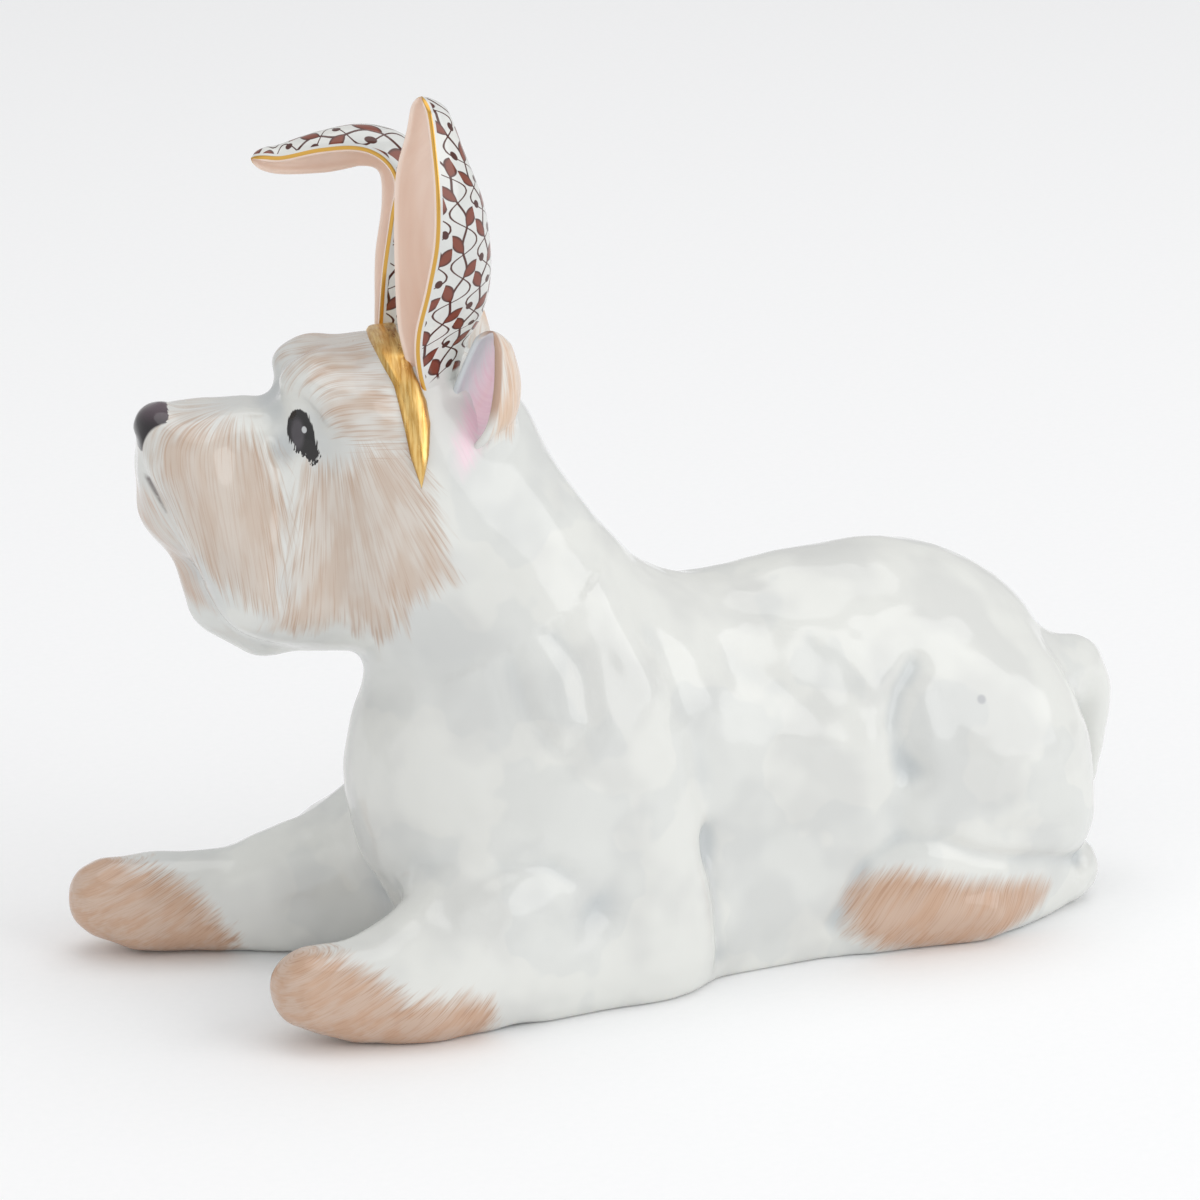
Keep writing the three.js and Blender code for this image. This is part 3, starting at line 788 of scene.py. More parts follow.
hollow = ((neighbour_mean(points) - points) * normals).sum(axis=1)[:, None] / CELL**2
for _ in range(HOLLOW_BLUR_PASSES):
    hollow = neighbour_mean(hollow)
on_leg = np.minimum(near["left_foreleg"], near["right_foreleg"]) < near["torso"]
at_hind = ~on_leg & (points[:, 0] > HIND_FROM)
at_paws = points[:, 0] < PAWS_UP_TO
fields = painted(points, owner == CASTINGS.index("head"), at_hind, at_paws)
beside_ear = np.abs(face[:, 1]) - EAR_INNER_SIDE
pink, pink_flow = fields["ear_pink"]
fields["ear_pink"] = (np.minimum.reduce([pink, beside_ear, EAR_FRONT - face[:, 0]]), pink_flow)
beige, beige_flow = fields["ear_back"]
fields["ear_back"] = (np.minimum(beige, beside_ear), beige_flow)
store(skin, "hollow", hollow[:, 0])
store(skin, "place", to_head(points))
store(skin, "smooth", normals)
store(skin, "owner", owner.astype(float))
seen_flat = face[:, [0, 2]]
store(skin, "eye", depth_inside(seen_flat, EYE))
store(skin, "nose", depth_inside(seen_flat, NOSE))
store(skin, "mouth", np.where(on_head, depth_inside(seen_flat, MOUTH), FAR_OUTSIDE))
for name, (depth, flow) in fields.items():
    store(skin, name + "_depth", depth)
    store(skin, name + "_flow", flow)
print("patches:", ", ".join(fields))

# %% [markdown]
# The real colours are fired to the gloss of the glaze, so every finish but the gold is the same shiny
# surface in another colour. A material is a graph of small sums, and these few helpers let each sum be
# written on one line.

# %% Helpers for materials


def srgb(red, green, blue):
    """A colour as a screen shows it, turned into the amounts of light a material needs."""
    parts = [c / 255 for c in (red, green, blue)]
    return tuple(c / 12.92 if c <= 0.04045 else ((c + 0.055) / 1.055) ** 2.4 for c in parts) + (1.0,)


class Sheet:
    """A material's graph, with one short method for each kind of node in use."""

    def __init__(self, name):
        self.material = bpy.data.materials.new(name)
        self.material.use_nodes = True
        self.tree = self.material.node_tree
        self.shader = self.tree.nodes["Principled BSDF"]

    def put(self, kind, sockets, **settings):
        """Adds a node, sets it up and fills its sockets."""
        node = self.tree.nodes.new(kind)
        for key, value in settings.items():
            setattr(node, key, value)
        for key, value in sockets.items():
            if isinstance(value, bpy.types.NodeSocket):
                self.tree.links.new(value, node.inputs[key])
            else:
                node.inputs[key].default_value = value
        return node

    def sum(self, operation, *values):
        """One sum on numbers."""
        return self.put("ShaderNodeMath", dict(enumerate(values)), operation=operation).outputs[0]

    def length(self, first, second):
        """The length of a flat vector."""
        squares = self.sum("ADD", self.sum("POWER", first, 2.0), self.sum("POWER", second, 2.0))
        return self.sum("SQRT", squares)

    def turned(self, first, second, turn):
        """One measure of a flat vector that is turned."""
        turned_second = self.sum("MULTIPLY", second, math.sin(turn))
        return self.sum("MULTIPLY_ADD", first, math.cos(turn), turned_second)

    def blend(self, share, first, second):
        """One colour passing into another."""
        sockets = {"Factor": share, 6: first, 7: second}
        return self.put("ShaderNodeMix", sockets, data_type="RGBA").outputs[2]

    def step(self, value, low, high, start=0.0, end=1.0):
        """A soft step of a value between two limits."""
        sockets = {"Value": value, 1: low, 2: high, 3: start, 4: end}
        return self.put("ShaderNodeMapRange", sockets, interpolation_type="SMOOTHSTEP").outputs[0]

    def measure(self, name):
        """A measure kept on the points: the number, or the three numbers."""
        return self.put("ShaderNodeAttribute", {}, attribute_name=name).outputs

    def stretched(self, vector, scales):
        """The three numbers of a vector, each with a scale of its own."""
        node = self.put("ShaderNodeVectorMath", {0: vector, 1: scales}, operation="MULTIPLY")
        return node.outputs[0]

    def cloud(self, vector, scale=1.0, detail=2.0, roughness=0.5):
        """Soft random clouds between 0 and 1."""
        sockets = {"Vector": vector, "Scale": scale, "Detail": detail, "Roughness": roughness}
        return self.put("ShaderNodeTexNoise", sockets).outputs[0]

    def finish(self, colour, bump=None, height=0.05, **values):
        """Connects the colour and the relief, and sets the shader's own sockets."""
        self.tree.links.new(colour, self.shader.inputs["Base Color"])
        if bump is not None:
            sockets = {"Height": bump, "Distance": height * MM, "Strength": 1.0}
            relief = self.put("ShaderNodeBump", sockets).outputs[0]
            self.tree.links.new(relief, self.shader.inputs["Normal"])
        for name, value in values.items():
            socket = self.shader.inputs[name.replace("_", " ")]
            if isinstance(value, bpy.types.NodeSocket):
                self.tree.links.new(value, socket)
            else:
                socket.default_value = value
        return self.material


# %% [markdown]
# The white is glaze over white clay. It is a little cloudy, and bluish where it lies thick in the folds,
# where shade is painted too, a darker grey-blue. Crisp grey patches scattered over the glaze are painted
# reflections. Light that scatters under the surface would be slow to work out and hardly seen on a piece
# of this size, so the clouds and pools are colours under one smooth gloss. The painter's hairs are noise,
# drawn out along the flow of the coat.

# %% Porcelain
GLAZE_LIGHT = srgb(222, 223, 219)
GLAZE_DARK = srgb(213, 214, 211)
POOL_SHADE_REFLECTION_GREY = srgb(184, 190, 193)
GLOSS = {"Roughness": 0.12, "IOR": 1.55}


def porcelain(sheet):
    """Cloudy white glaze, painted reflection patches, and pooled glaze with painted shade in folds."""
    place = sheet.put("ShaderNodeTexCoord", {}).outputs["Object"]
    clouds = sheet.cloud(place, 90.0, 2.0)
    colour = sheet.blend(sheet.step(clouds, 0.42, 0.6), GLAZE_LIGHT, GLAZE_DARK)
    # Crisp grey patches at random places: painted reflections on the glaze.
    reflection_patches = sheet.cloud(place, 60.0, 3.0, 0.45)
    colour = sheet.blend(sheet.step(reflection_patches, 0.53, 0.555, 0.0, 0.16), colour, POOL_SHADE_REFLECTION_GREY)
    # Grey-blue in the folds: glaze that pools there, and painted shade.
    pooled_shade = sheet.step(sheet.measure("hollow")[2], 0.004, 0.08, 0.0, 0.65)
    return sheet.blend(pooled_shade, colour, POOL_SHADE_REFLECTION_GREY)


def hairs(sheet, name, below, wash, line, ragged=2.2, cover=0.5, strength=1.0):
    """Paints a patch of coat: a blotchy wash, then fine hairs that are darkest at the patch's rim."""
    depth = sheet.measure(name + "_depth")[2]
    flow = sheet.measure(name + "_flow")[1]
    blotches = sheet.cloud(sheet.stretched(flow, (0.14, 0.36, 1.5)), 1.0, 2.0, 0.5)
    strands = sheet.cloud(sheet.stretched(flow, (0.13, 1.3, 1.6)), 1.0, 2.0, 0.6)
    fine = sheet.cloud(sheet.stretched(flow, (0.17, 5.6, 2.2)), 1.0, 1.0, 0.5)
    edge = sheet.sum("MULTIPLY_ADD", sheet.sum("SUBTRACT", strands, 0.5), 2.6 * ragged, depth)
    tips = sheet.sum("MULTIPLY_ADD", sheet.sum("SUBTRACT", fine, 0.5), 1.6 * ragged, edge)
    mixed = sheet.sum("MULTIPLY_ADD", blotches, 0.72, sheet.sum("MULTIPLY", strands, 0.28))
    washed = sheet.sum("MULTIPLY", sheet.step(edge, -1.0, 2.2), sheet.step(mixed, 0.4, 0.6, cover, 1.0))
    colour = sheet.blend(sheet.sum("MULTIPLY", washed, strength), below, wash)
    rim = sheet.step(depth, 5.0, 0.5, 0.2, 0.5)
    drawn = sheet.sum("MULTIPLY", sheet.step(tips, -0.8, 1.6), sheet.step(fine, 0.48, 0.68))
    drawn = sheet.sum("MULTIPLY", drawn, sheet.sum("MULTIPLY", rim, strength))
    return sheet.blend(drawn, colour, line)


# %% [markdown]
# Body and tail stay white, and only the toes of the hind foot are painted. A small grey speck on the
# haunch is a fault that the kiln left. It lies in the glaze, so it is a colour and not a bump.

# %% The white glaze of the body and tail
PAW_WASH = srgb(196, 163, 139)
PAW_LINE = srgb(162, 118, 86)
KILN_SPECK = srgb(150, 152, 160)

body = Sheet("white_glaze")
colour = porcelain(body)
colour = hairs(body, "hind", colour, PAW_WASH, PAW_LINE, ragged=1.0, cover=0.85)
speck = tuple((np.array([35.6, -25.1, 32.1]) + MARK) * MM)
place = body.put("ShaderNodeTexCoord", {}).outputs["Object"]
from_speck = body.put("ShaderNodeVectorMath", {0: place, 1: speck}, operation="DISTANCE").outputs[1]
in_speck = body.step(from_speck, 0.8 * MM, 0.35 * MM, 0.0, 0.5)
colour = body.blend(in_speck, colour, KILN_SPECK)
white_glaze = body.finish(colour, **GLOSS)

# %% [markdown]
# The painter lays a thin beige wash first and draws single hairs over it with a fine brush. The patches
# follow in the same order here, each over the colour below it.

# %% The coat of the head and paws
WASH = srgb(200, 184, 170)
LINE = srgb(176, 138, 110)
CHIN_LINE = srgb(188, 134, 98)
EAR_WASH = srgb(218, 190, 166)
EAR_LINE = srgb(188, 146, 114)
PINK_WASH = srgb(241, 209, 221)
PINK_LINE = srgb(232, 194, 210)
MOUTH_LINE = srgb(92, 80, 78)

coat = Sheet("fur_paint")
colour = porcelain(coat)
colour = hairs(coat, "paw", colour, PAW_WASH, PAW_LINE, ragged=1.6, cover=0.8)
for name, cover in (("muzzle", 0.72), ("cheek", 0.6), ("forehead", 0.25)):
    colour = hairs(coat, name, colour, WASH, LINE, cover=cover)
colour = hairs(coat, "chin", colour, WASH, CHIN_LINE, ragged=1.2)
colour = hairs(coat, "ear_back", colour, EAR_WASH, EAR_LINE, ragged=1.4, cover=0.6)
colour = hairs(coat, "ear_pink", colour, PINK_WASH, PINK_LINE, ragged=0.6, cover=0.8)
lip = coat.step(coat.measure("mouth")[2], -0.25, 0.2, 0.0, 0.85)
colour = coat.blend(lip, colour, MOUTH_LINE)
place = coat.measure("place")[1]
split = coat.put("ShaderNodeSeparateXYZ", {0: place})
head_x, head_y, head_z = split.outputs

# %% [markdown]
# The eye and the nose are black enamel. Their outlines are measures on the points too. Noise that is
# stretched upright frays the lower edge of the eye into lashes. The iris is an oval of paint, and the
# light spot in it is a painted highlight, an oval too, so both are drawn in the material and not modelled.
# The top of the nose is lighter, a painted sheen.

# %% Eye and nose
BLACK = srgb(17, 14, 16)
IRIS = srgb(70, 66, 71)
GLINT = srgb(196, 198, 200)
NOSE_BELOW = srgb(38, 34, 38)
NOSE_SHEEN_TOP = srgb(86, 70, 80)
eye = coat.measure("eye")[2]
lashes = coat.cloud(coat.stretched(place, (4.4, 4.4, 0.5)), 1.0, 1.0)
low = coat.step(head_z, 71.8, 68.8)
raggedness = coat.sum("MULTIPLY_ADD", low, 1.1, 0.5)
ragged = coat.sum("MULTIPLY", coat.sum("SUBTRACT", lashes, 0.5), raggedness)
lid = coat.step(coat.sum("ADD", eye, ragged), -0.06, 0.1)
colour = coat.blend(lid, colour, BLACK)
dx = coat.sum("DIVIDE", coat.sum("ADD", head_x, 34.3), 0.8)
dz = coat.sum("DIVIDE", coat.sum("SUBTRACT", head_z, 71.3), 2.0)
iris = coat.length(dx, dz)
colour = coat.blend(coat.sum("MULTIPLY", coat.step(iris, 1.2, 0.6), lid), colour, IRIS)
# A light oval in the eye: a painted highlight.
dx = coat.sum("MULTIPLY", coat.sum("ADD", head_x, 33.55), 1.2)
dz = coat.sum("MULTIPLY", coat.sum("SUBTRACT", head_z, 71.85), 0.8)
glint = coat.length(dx, dz)
colour = coat.blend(coat.step(glint, 0.4, 0.28), colour, GLINT)
nose = coat.step(coat.sum("MULTIPLY_ADD", lashes, 0.5, coat.measure("nose")[2]), 0.2, 0.3)
nose = coat.sum("MULTIPLY", nose, coat.step(coat.sum("ABSOLUTE", head_y), 4.6, 4.2))
# The top of the nose is lighter: a painted sheen.
sheen = coat.blend(coat.step(head_z, 71.5, 74.0), NOSE_BELOW, NOSE_SHEEN_TOP)
colour = coat.blend(nose, colour, sheen)
fur_paint = coat.finish(colour, **GLOSS)

# %% [markdown]
# The dog's own ears are pink in the hollow and beige outside, with a brown line on the outer lip. The rest
# of the hollow is painted a lighter white against its shade, and painted grey-blue shade lies on the inner
# side, along the inner lip. The distance from the lip, which every point keeps, tells hollow, rim and back
# apart.

# %% The dog's own ears
CUP_LIT_WHITE = srgb(232, 236, 238)
CUP_SHADE = srgb(208, 214, 218)
EAR_RIM = srgb(168, 122, 90)

lobe = Sheet("fur_paint_ears")
lip_side = lobe.put("ShaderNodeSeparateXYZ", {0: lobe.measure("round_back")[1]}).outputs[2]
place = lobe.put("ShaderNodeSeparateXYZ", {0: lobe.measure("place")[1]}).outputs
outer = lobe.step(lobe.sum("ABSOLUTE", place[1]), 11.5, 13.0)
cup = lobe.step(lip_side, -0.9, -1.3)
back = lobe.step(lip_side, 0.0, 0.3)
# The hollow is painted whiter than the glaze: painted light against its shade.
colour = lobe.blend(cup, porcelain(lobe), CUP_LIT_WHITE)
# Painted grey-blue shade on the inner side of the ear, as under the hare's ear.
medial_shade = lobe.sum("MULTIPLY", lobe.step(lip_side, 1.6, 0.2), lobe.step(outer, 0.6, 0.2))
colour = lobe.blend(medial_shade, colour, CUP_SHADE)
colour = hairs(lobe, "ear_back", colour, EAR_WASH, EAR_LINE, ragged=2.0, cover=0.6, strength=back)
colour = hairs(lobe, "ear_pink", colour, PINK_WASH, PINK_LINE, ragged=0.6, cover=0.9, strength=cup)
ridge = lobe.sum("ABSOLUTE", lobe.sum("ADD", lip_side, 0.4))
rim = lobe.sum("MULTIPLY", lobe.step(ridge, 0.9, 0.4), outer)
rim = lobe.sum("MULTIPLY", rim, lobe.step(place[2], 72.0, 76.0, 0.0, 0.8))
colour = lobe.blend(rim, colour, EAR_RIM)
dog_ear_paint = lobe.finish(colour, **GLOSS)

# %% [markdown]
# The backs of the hare's ears carry a small pattern of the studio's own: thin winding stems that climb
# the ear side by side, each with its leaves and a fine tendril, and with berries on every second stem.
# Each stem lives in a column of its own, so a few sums on the distance up and round draw all of them.

# %% The stems on the hare's ears
STEM_SPACING = 4.0
STEM_SWING = 0.55
LEAF_SPACING = 3.0
TENDRIL_SWING = 1.9

hare = Sheet("ear_paint")
colour = porcelain(hare)
round_back = hare.measure("round_back")
split = hare.put("ShaderNodeSeparateXYZ", {0: round_back[1]})
rise, across, from_lip = split.outputs
column = hare.sum("ROUND", hare.sum("DIVIDE", across, STEM_SPACING))
beside = hare.sum("MULTIPLY_ADD", column, -STEM_SPACING, across)
climb = hare.sum("MULTIPLY_ADD", hare.sum("PINGPONG", column, 1.0), 1.5 * LEAF_SPACING, rise)
bend = hare.sum("SINE", hare.sum("MULTIPLY", climb, math.pi / LEAF_SPACING))
stem_gap = hare.sum("ABSOLUTE", hare.sum("MULTIPLY_ADD", bend, -STEM_SWING, beside))
stem = hare.step(stem_gap, 0.23, 0.15)
curl = hare.sum("SINE", hare.sum("MULTIPLY_ADD", climb, math.pi / LEAF_SPACING, 2.4))
tendril_gap = hare.sum("ABSOLUTE", hare.sum("MULTIPLY_ADD", curl, -TENDRIL_SWING, beside))
tendril = hare.step(tendril_gap, 0.2, 0.12)

# %% [markdown]
# A stem has one leaf on each storey, by turns to the left and to the right, and a berry across from it.
# A leaf is two arcs that meet in a point at either end. It is dark rust at its rim and lighter inside,
# as thin enamel looks where a brush has pushed it outward.

# %% The leaves and berries
LEAF_LENGTH = 1.5
LEAF_WIDTH = 0.8
LEAF_TILT = math.radians(42)
RUST_DARK = srgb(74, 34, 26)
RUST_LIGHT = srgb(124, 60, 42)

storey = hare.sum("FLOOR", hare.sum("DIVIDE", climb, LEAF_SPACING))
way = hare.sum("MULTIPLY_ADD", hare.sum("PINGPONG", storey, 1.0), -2.0, 1.0)
middle_of_storey = hare.sum("MULTIPLY", hare.sum("ADD", storey, 0.5), LEAF_SPACING)
up_stem = hare.sum("SUBTRACT", climb, middle_of_storey)
out = hare.sum("MULTIPLY", beside, way)
leaf_up = hare.sum("SUBTRACT", up_stem, 0.3)
leaf_out = hare.sum("SUBTRACT", out, 1.25)
leaf_along = hare.turned(leaf_up, leaf_out, LEAF_TILT)
leaf_across = hare.turned(leaf_out, leaf_up, -LEAF_TILT)
share = hare.sum("ABSOLUTE", hare.sum("DIVIDE", leaf_along, LEAF_LENGTH))
taper = hare.sum("SUBTRACT", 1.0, hare.sum("POWER", share, 2.0))
half_leaf = hare.sum("MULTIPLY", taper, LEAF_WIDTH)
leaf_depth = hare.sum("SUBTRACT", half_leaf, hare.sum("ABSOLUTE", leaf_across))
leaf = hare.step(leaf_depth, -0.05, 0.05)
berry_gap = hare.length(hare.sum("ADD", out, 1.05), up_stem)
berry = hare.sum("MULTIPLY", hare.step(berry_gap, 0.54, 0.46), hare.sum("PINGPONG", column, 1.0))
drawn = hare.sum("MAXIMUM", hare.sum("MAXIMUM", stem, leaf), hare.sum("MAXIMUM", berry, tendril))
field = hare.sum("MULTIPLY", hare.step(from_lip, 0.35, 0.45), hare.step(rise, 4.4, 5.0))
drawn = hare.sum("MULTIPLY", drawn, field)
rust = hare.blend(hare.step(leaf_depth, 0.05, 0.4), RUST_DARK, RUST_LIGHT)
colour = hare.blend(drawn, colour, rust)

# %% [markdown]
# The hollow of the hare's ears is peach, and a gilt line runs round their lips. The same measure of the
# distance from the lip tells them apart. Burnished gold is a little rougher than glaze, and it is metal.

# %% The hollow and the gilt line
PEACH_LIGHT = srgb(248, 229, 215)
PEACH_DARK = srgb(240, 214, 198)
GILT_LINE = srgb(212, 166, 84)

inside = hare.step(from_lip, -0.38, -0.45)
shades = hare.cloud(hare.stretched(round_back[1], (0.1, 0.7, 0.7)))
peach = hare.blend(shades, PEACH_LIGHT, PEACH_DARK)
colour = hare.blend(inside, colour, peach)
gilt = hare.sum("MULTIPLY", hare.step(from_lip, -0.44, -0.38), hare.step(from_lip, 0.12, 0.05))
colour = hare.blend(gilt, colour, GILT_LINE)
roughness = hare.step(gilt, 0.0, 1.0, 0.1, 0.28)
ear_paint = hare.finish(colour, Roughness=roughness, IOR=1.55, Metallic=gilt)

# %% [markdown]
# The band is burnished gold over the glaze, the only piece that is metal all over. A fine brushed relief
# and a rougher shine in worn places keep it from looking like a mirror.

# %% Gold
GOLD_LIGHT = srgb(234, 200, 132)
GOLD_DARK = srgb(204, 158, 84)

gild = Sheet("gold")
strap = gild.measure("strap")[1]
brushed = gild.cloud(gild.stretched(strap, (0.3, 2.6, 1.0)), 1.0, 3.0, 0.6)
worn = gild.cloud(gild.stretched(strap, (0.6, 0.9, 1.0)), 1.0, 2.0)
colour = gild.blend(gild.step(brushed, 0.35, 0.65), GOLD_LIGHT, GOLD_DARK)
roughness = gild.step(worn, 0.3, 0.7, 0.26, 0.42)
gold = gild.finish(colour, bump=brushed, height=0.04, Roughness=roughness, Metallic=1.0)
finishes = (white_glaze, fur_paint, dog_ear_paint, ear_paint, gold)
print("finishes:", ", ".join(finish.name.split(".")[0] for finish in finishes))

# %% [markdown]
# Each finished piece takes the place of its casting and belongs to the same body, because nothing on a
# fired figure moves. Its slot says which finish of the part's record it wears.

# %% Dress a piece
FINISH_OF = {
    "torso": white_glaze,
    "tail": white_glaze,
    "head": fur_paint,
    "left_foreleg": fur_paint,
    "right_foreleg": fur_paint,
    "left_dog_ear": dog_ear_paint,
    "right_dog_ear": dog_ear_paint,
    "left_hare_ear": ear_paint,
    "right_hare_ear": ear_paint,
    "hairband": gold,
}


def dressed(name, mesh):
    """Puts a finished piece in the scene in place of its casting."""
    mesh.materials.clear()
    mesh.materials.append(FINISH_OF[name])
    mesh.polygons.foreach_set("use_smooth", [True] * len(mesh.polygons))
    piece = added(name + "_glazed", mesh)
    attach(piece, "root")
    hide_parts(name)
    return piece


# %% [markdown]
# The finished skin is cut again where the castings meet. The cut runs along the plane of each seam, and
# the open rims are closed. Both sides keep the normals of the whole skin, so the glaze seems unbroken.

# %% Cut the skin into its castings
CUT_DEPTH = 2 * MM


def at_seam_plane(place, name):
    """Whether a place is close to a seam and to its plane."""
    middle, way, spread = seam_planes[name]
    return (place - middle).length < spread and abs((place - middle) @ way) < CUT_DEPTH


CUT = [name for name in CASTINGS if name not in EARS]
bm = bmesh.new()
bm.from_mesh(skin)
bm.verts.ensure_lookup_table()
bmesh.ops.delete(bm, geom=[bm.verts[i] for i in np.flatnonzero(~keep)], context="VERTS")
for name in CUT[1:]:
    middle, way, spread = seam_planes[name]
    close = [f for f in bm.faces if all(at_seam_plane(v.co, name) for v in f.verts)]
    parts = {*close, *(e for f in close for e in f.edges), *(v for f in close for v in f.verts)}
    bmesh.ops.bisect_plane(bm, geom=list(parts), plane_co=middle, plane_no=way)
owner_layer = bm.verts.layers.float["owner"]
mark = bm.faces.layers.int.new("mark")
for f in bm.faces:
    f[mark] = int(round(np.median([v[owner_layer] for v in f.verts])))
for name in CUT[1:]:
    middle, way, spread = seam_planes[name]
    for f in bm.faces:
        centre = f.calc_center_median()
        if at_seam_plane(centre, name):
            f[mark] = CASTINGS.index(name) if (centre - middle) @ way > 0 else 0
for name in CUT:
    cut = bm.copy()
    cut_mark = cut.faces.layers.int["mark"]
    others = [f for f in cut.faces if f[cut_mark] != CASTINGS.index(name)]
    bmesh.ops.delete(cut, geom=others, context="FACES")
    rims = [e for e in cut.edges if e.is_boundary]
    bmesh.ops.holes_fill(cut, edges=rims, sides=0)
    mesh = bpy.data.meshes.new(name + "_glazed")
    cut.to_mesh(mesh)
    cut.free()
    smooth = np.empty(3 * len(mesh.vertices), np.float32)
    mesh.attributes["smooth"].data.foreach_get("vector", smooth)
    smooth = smooth.reshape(-1, 3)
    smooth /= np.maximum(np.linalg.norm(smooth, axis=1), 1e-6)[:, None]
    dressed(name, mesh)
    mesh.normals_split_custom_set_from_vertices(smooth)
    print(name, len(mesh.polygons), "faces")
bm.free()

# %% [markdown]
# The ears stay meshes of their own, because the material reads how far each point is up the ear and from
# its lip. Their feet sink into the collar of the skin, as the real ones are luted on.

# %% Set the ears in place


def closed_mesh(name, corners, faces):
    """A mesh from corners in millimetres, with its faces turned outward."""
    mesh = bpy.data.meshes.new(name + "_glazed")
    mesh.from_pydata([tuple(c) for c in corners * MM], [], faces)
    bm = bmesh.new()
    bm.from_mesh(mesh)
    bmesh.ops.recalc_face_normals(bm, faces=bm.faces)
    bm.to_mesh(mesh)
    bm.free()
    return mesh


for name, (corners, faces, measures) in ears.items():
    mesh = closed_mesh(name, corners, faces)
    store(mesh, "round_back", measures)
    store(mesh, "place", to_head(corners))
    everywhere = np.ones(len(corners), bool)
    for patch, (depth, flow) in painted(corners, everywhere, ~everywhere, ~everywhere).items():
        if patch.startswith("ear_") and "dog" in name:
            store(mesh, patch + "_depth", depth)
            store(mesh, patch + "_flow", flow)
    dressed(name, mesh)

# %% [markdown]
# The gilt band is a strap of clay laid over the skull from one cheek to the other. Its edges are measured
# from the side. Rays are sent out from the middle of the head to find the skin under it, and their
# lengths are smoothed a little, because a strap doesn't dip into every fold.

# %% Find the skull under the band
BAND_FRONT = [(66.0, -20.3), (69.7, -21.5), (73.2, -22.1), (77.4, -23.0), (81, -24.9), (83, -26.2)]
BAND_BACK = [
    (66.0, -20.3), (69.7, -19.3), (73.4, -18.9), (76, -19.2), (78.6, -20.4), (81, -21.2),
    (83, -21.4),
]
BAND_AXIS = 66.0
BAND_STEPS = 120
BAND_ACROSS = 13
BAND_MIDDLE = -22.0
BAND_BLUR_PASSES = 6

skin_faces = [tuple(f.vertices) for f in skin.polygons]
skin_tree = BVHTree.FromPolygons([tuple(p) for p in to_head(points)], skin_faces)


def skull_hit(x, turn):
    """Where a ray from the middle of the head, at a turn over it, leaves the skin."""
    hit = skin_tree.ray_cast((x, 0, BAND_AXIS), (0, -math.cos(turn), math.sin(turn)))
    return hit[3]


turns = np.linspace(0, math.pi, BAND_STEPS)
shares = np.linspace(-1, 1, BAND_ACROSS)
reach = np.empty((BAND_STEPS, BAND_ACROSS))
lines = np.empty((BAND_STEPS, BAND_ACROSS))
for i, turn in enumerate(turns):
    level = BAND_AXIS + skull_hit(BAND_MIDDLE, turn) * math.sin(turn)
    front = np.interp(level, *zip(*BAND_FRONT))
    back = np.interp(level, *zip(*BAND_BACK))
    lines[i] = front + (back - front) * (shares + 1) / 2
    reach[i] = [skull_hit(x, turn) for x in lines[i]]
for _ in range(BAND_BLUR_PASSES):
    middle = reach[1:-1]
    middle += 0.25 * (reach[:-2] + reach[2:] - 2 * middle)
print("skull under the band:", reach.min().round(1), "to", reach.max().round(1), "mm out")

# %% [markdown]
# The strap follows the skull a little way above it, with round edges that turn back down into the skin.
# Near its ends a low ridge runs along its middle. It is built as a flattened tube with closed ends.

# %% The hairband
BAND_HEIGHT = 0.6
BAND_CLEARANCE = 0.1
BAND_SINK = 0.4
CREASE_HEIGHT = 0.22
CREASE_REACH = 12
SKULL_HALF_WIDTH = 12
STRAP_STEP = 0.35

from_tip = np.minimum(turns, math.pi - turns)[:, None] * SKULL_HALF_WIDTH
rounded = np.sqrt(1 - shares**4)[None, :]
crease = CREASE_HEIGHT * np.clip(1 - np.abs(shares - 0.1) / 0.6, 0, 1)[None, :]
crease = crease * np.clip(1 - from_tip / CREASE_REACH, 0, 1)
lift = (BAND_CLEARANCE + BAND_HEIGHT * rounded) * np.clip(from_tip / 2.5, 0.15, 1)
lift = lift + crease * np.clip(from_tip / 2, 0, 1)
sheets = []
for height in (lift, np.full_like(lift, -BAND_SINK)):
    out = reach + height
    aside = -out * np.cos(turns)[:, None]
    over = BAND_AXIS + out * np.sin(turns)[:, None]
    sheets.append(np.stack([lines, aside, over], -1))
loop = np.concatenate([sheets[0], sheets[1][:, ::-1]], axis=1)
round_band = loop.shape[1]
faces = tube_faces(BAND_STEPS, round_band)
faces.append(tuple(range(round_band)))
faces.append(tuple((BAND_STEPS - 1) * round_band + j for j in range(round_band))[::-1])
mesh = closed_mesh("hairband", from_head(loop.reshape(-1, 3)), faces)
along_band = np.repeat(np.cumsum(np.full(BAND_STEPS, STRAP_STEP)), round_band)
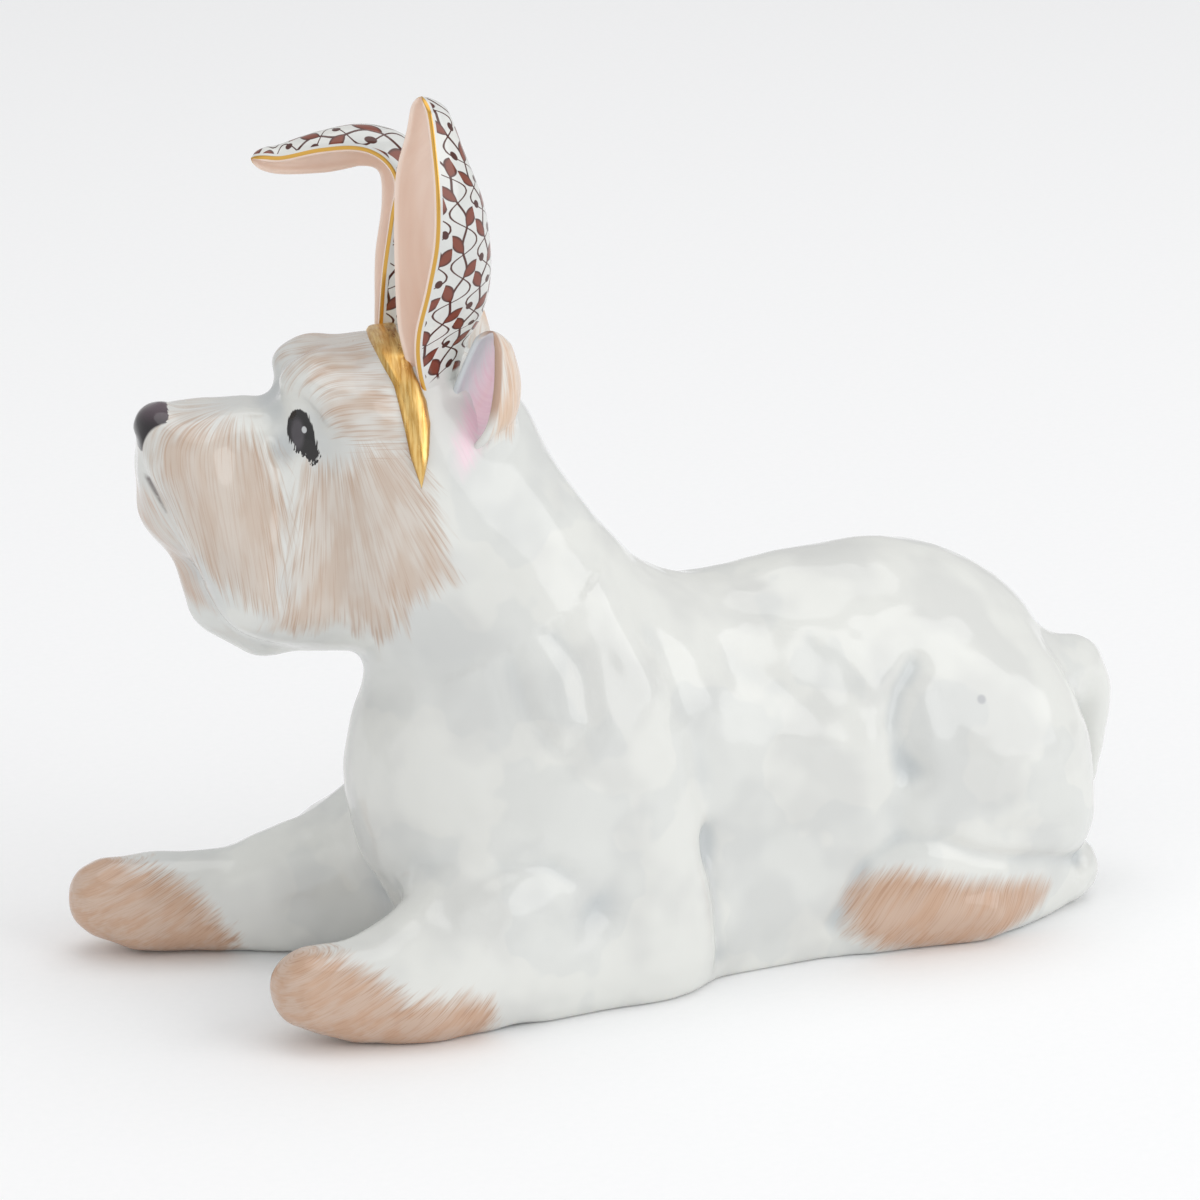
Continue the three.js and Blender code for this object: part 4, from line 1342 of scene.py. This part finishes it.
store(mesh, "strap", np.stack([along_band, loop[..., 0].ravel(), np.zeros(len(along_band))], 1))
dressed("hairband", mesh)
print("hairband reaches", round(float((reach + lift).max()), 1), "mm from the middle of the head")

# %% [markdown]
# The dog lies on a pale table, which keeps its shadow. The white of the picture comes from the colour of
# this table, because more light would bleach the glaze.

# %% The table
floor_mesh = bpy.data.meshes.new("table")
floor_mesh.from_pydata([(-3, -3, 0), (3, -3, 0), (3, 6, 0), (-3, 6, 0)], [], [(0, 1, 2, 3)])
floor = added("table", floor_mesh)
paper = Sheet("paper")
place = paper.put("ShaderNodeTexCoord", {}).outputs["Object"]
grain = paper.cloud(place, 900.0, 2.0)
floor_mesh.materials.append(
    paper.finish(paper.blend(grain, srgb(249, 250, 251), srgb(253, 253, 254)), Roughness=0.9)
)
print("table finish:", paper.material.name)

# %% [markdown]
# The photograph is lit like a product shot: a wide soft box past the viewer's right shoulder, another
# above and a weaker one on the left, in a bright room. Their reflections break up on the folds of the
# coat.

# %% The light
WORLD_LEVEL = 0.62
world = bpy.data.worlds.new("studio")
bpy.context.scene.world = world
world.use_nodes = True
background = world.node_tree.nodes["Background"]
background.inputs["Color"].default_value = (1, 1, 1, 1)
background.inputs["Strength"].default_value = WORLD_LEVEL


def softbox(name, way, distance, size, radiance):
    """A round soft box that faces the dog, as bright as asked wherever it is reflected."""
    lamp = bpy.data.lights.new(name, "AREA")
    lamp.shape = "DISK"
    lamp.size = size
    lamp.energy = radiance * math.pi * math.pi * size * size / 4
    light = added(name, lamp)
    light.location = Vector(way).normalized() * distance
    light.rotation_mode = "QUATERNION"
    light.rotation_quaternion = (Vector((0, 0, 0.04)) - light.location).to_track_quat("-Z", "Y")
    return light


softbox("right_box", (0.55, -0.75, 0.45), 1.2, 1.2, 1.5)
softbox("left_box", (-0.8, -0.5, 0.3), 1.2, 1.7, 0.42)
softbox("top_box", (0.1, 0.1, 1.0), 1.2, 1.2, 1.0)
bpy.context.scene.view_settings.view_transform = "Standard"
print("lamps:", ", ".join(lamp.name for lamp in bpy.data.lights))
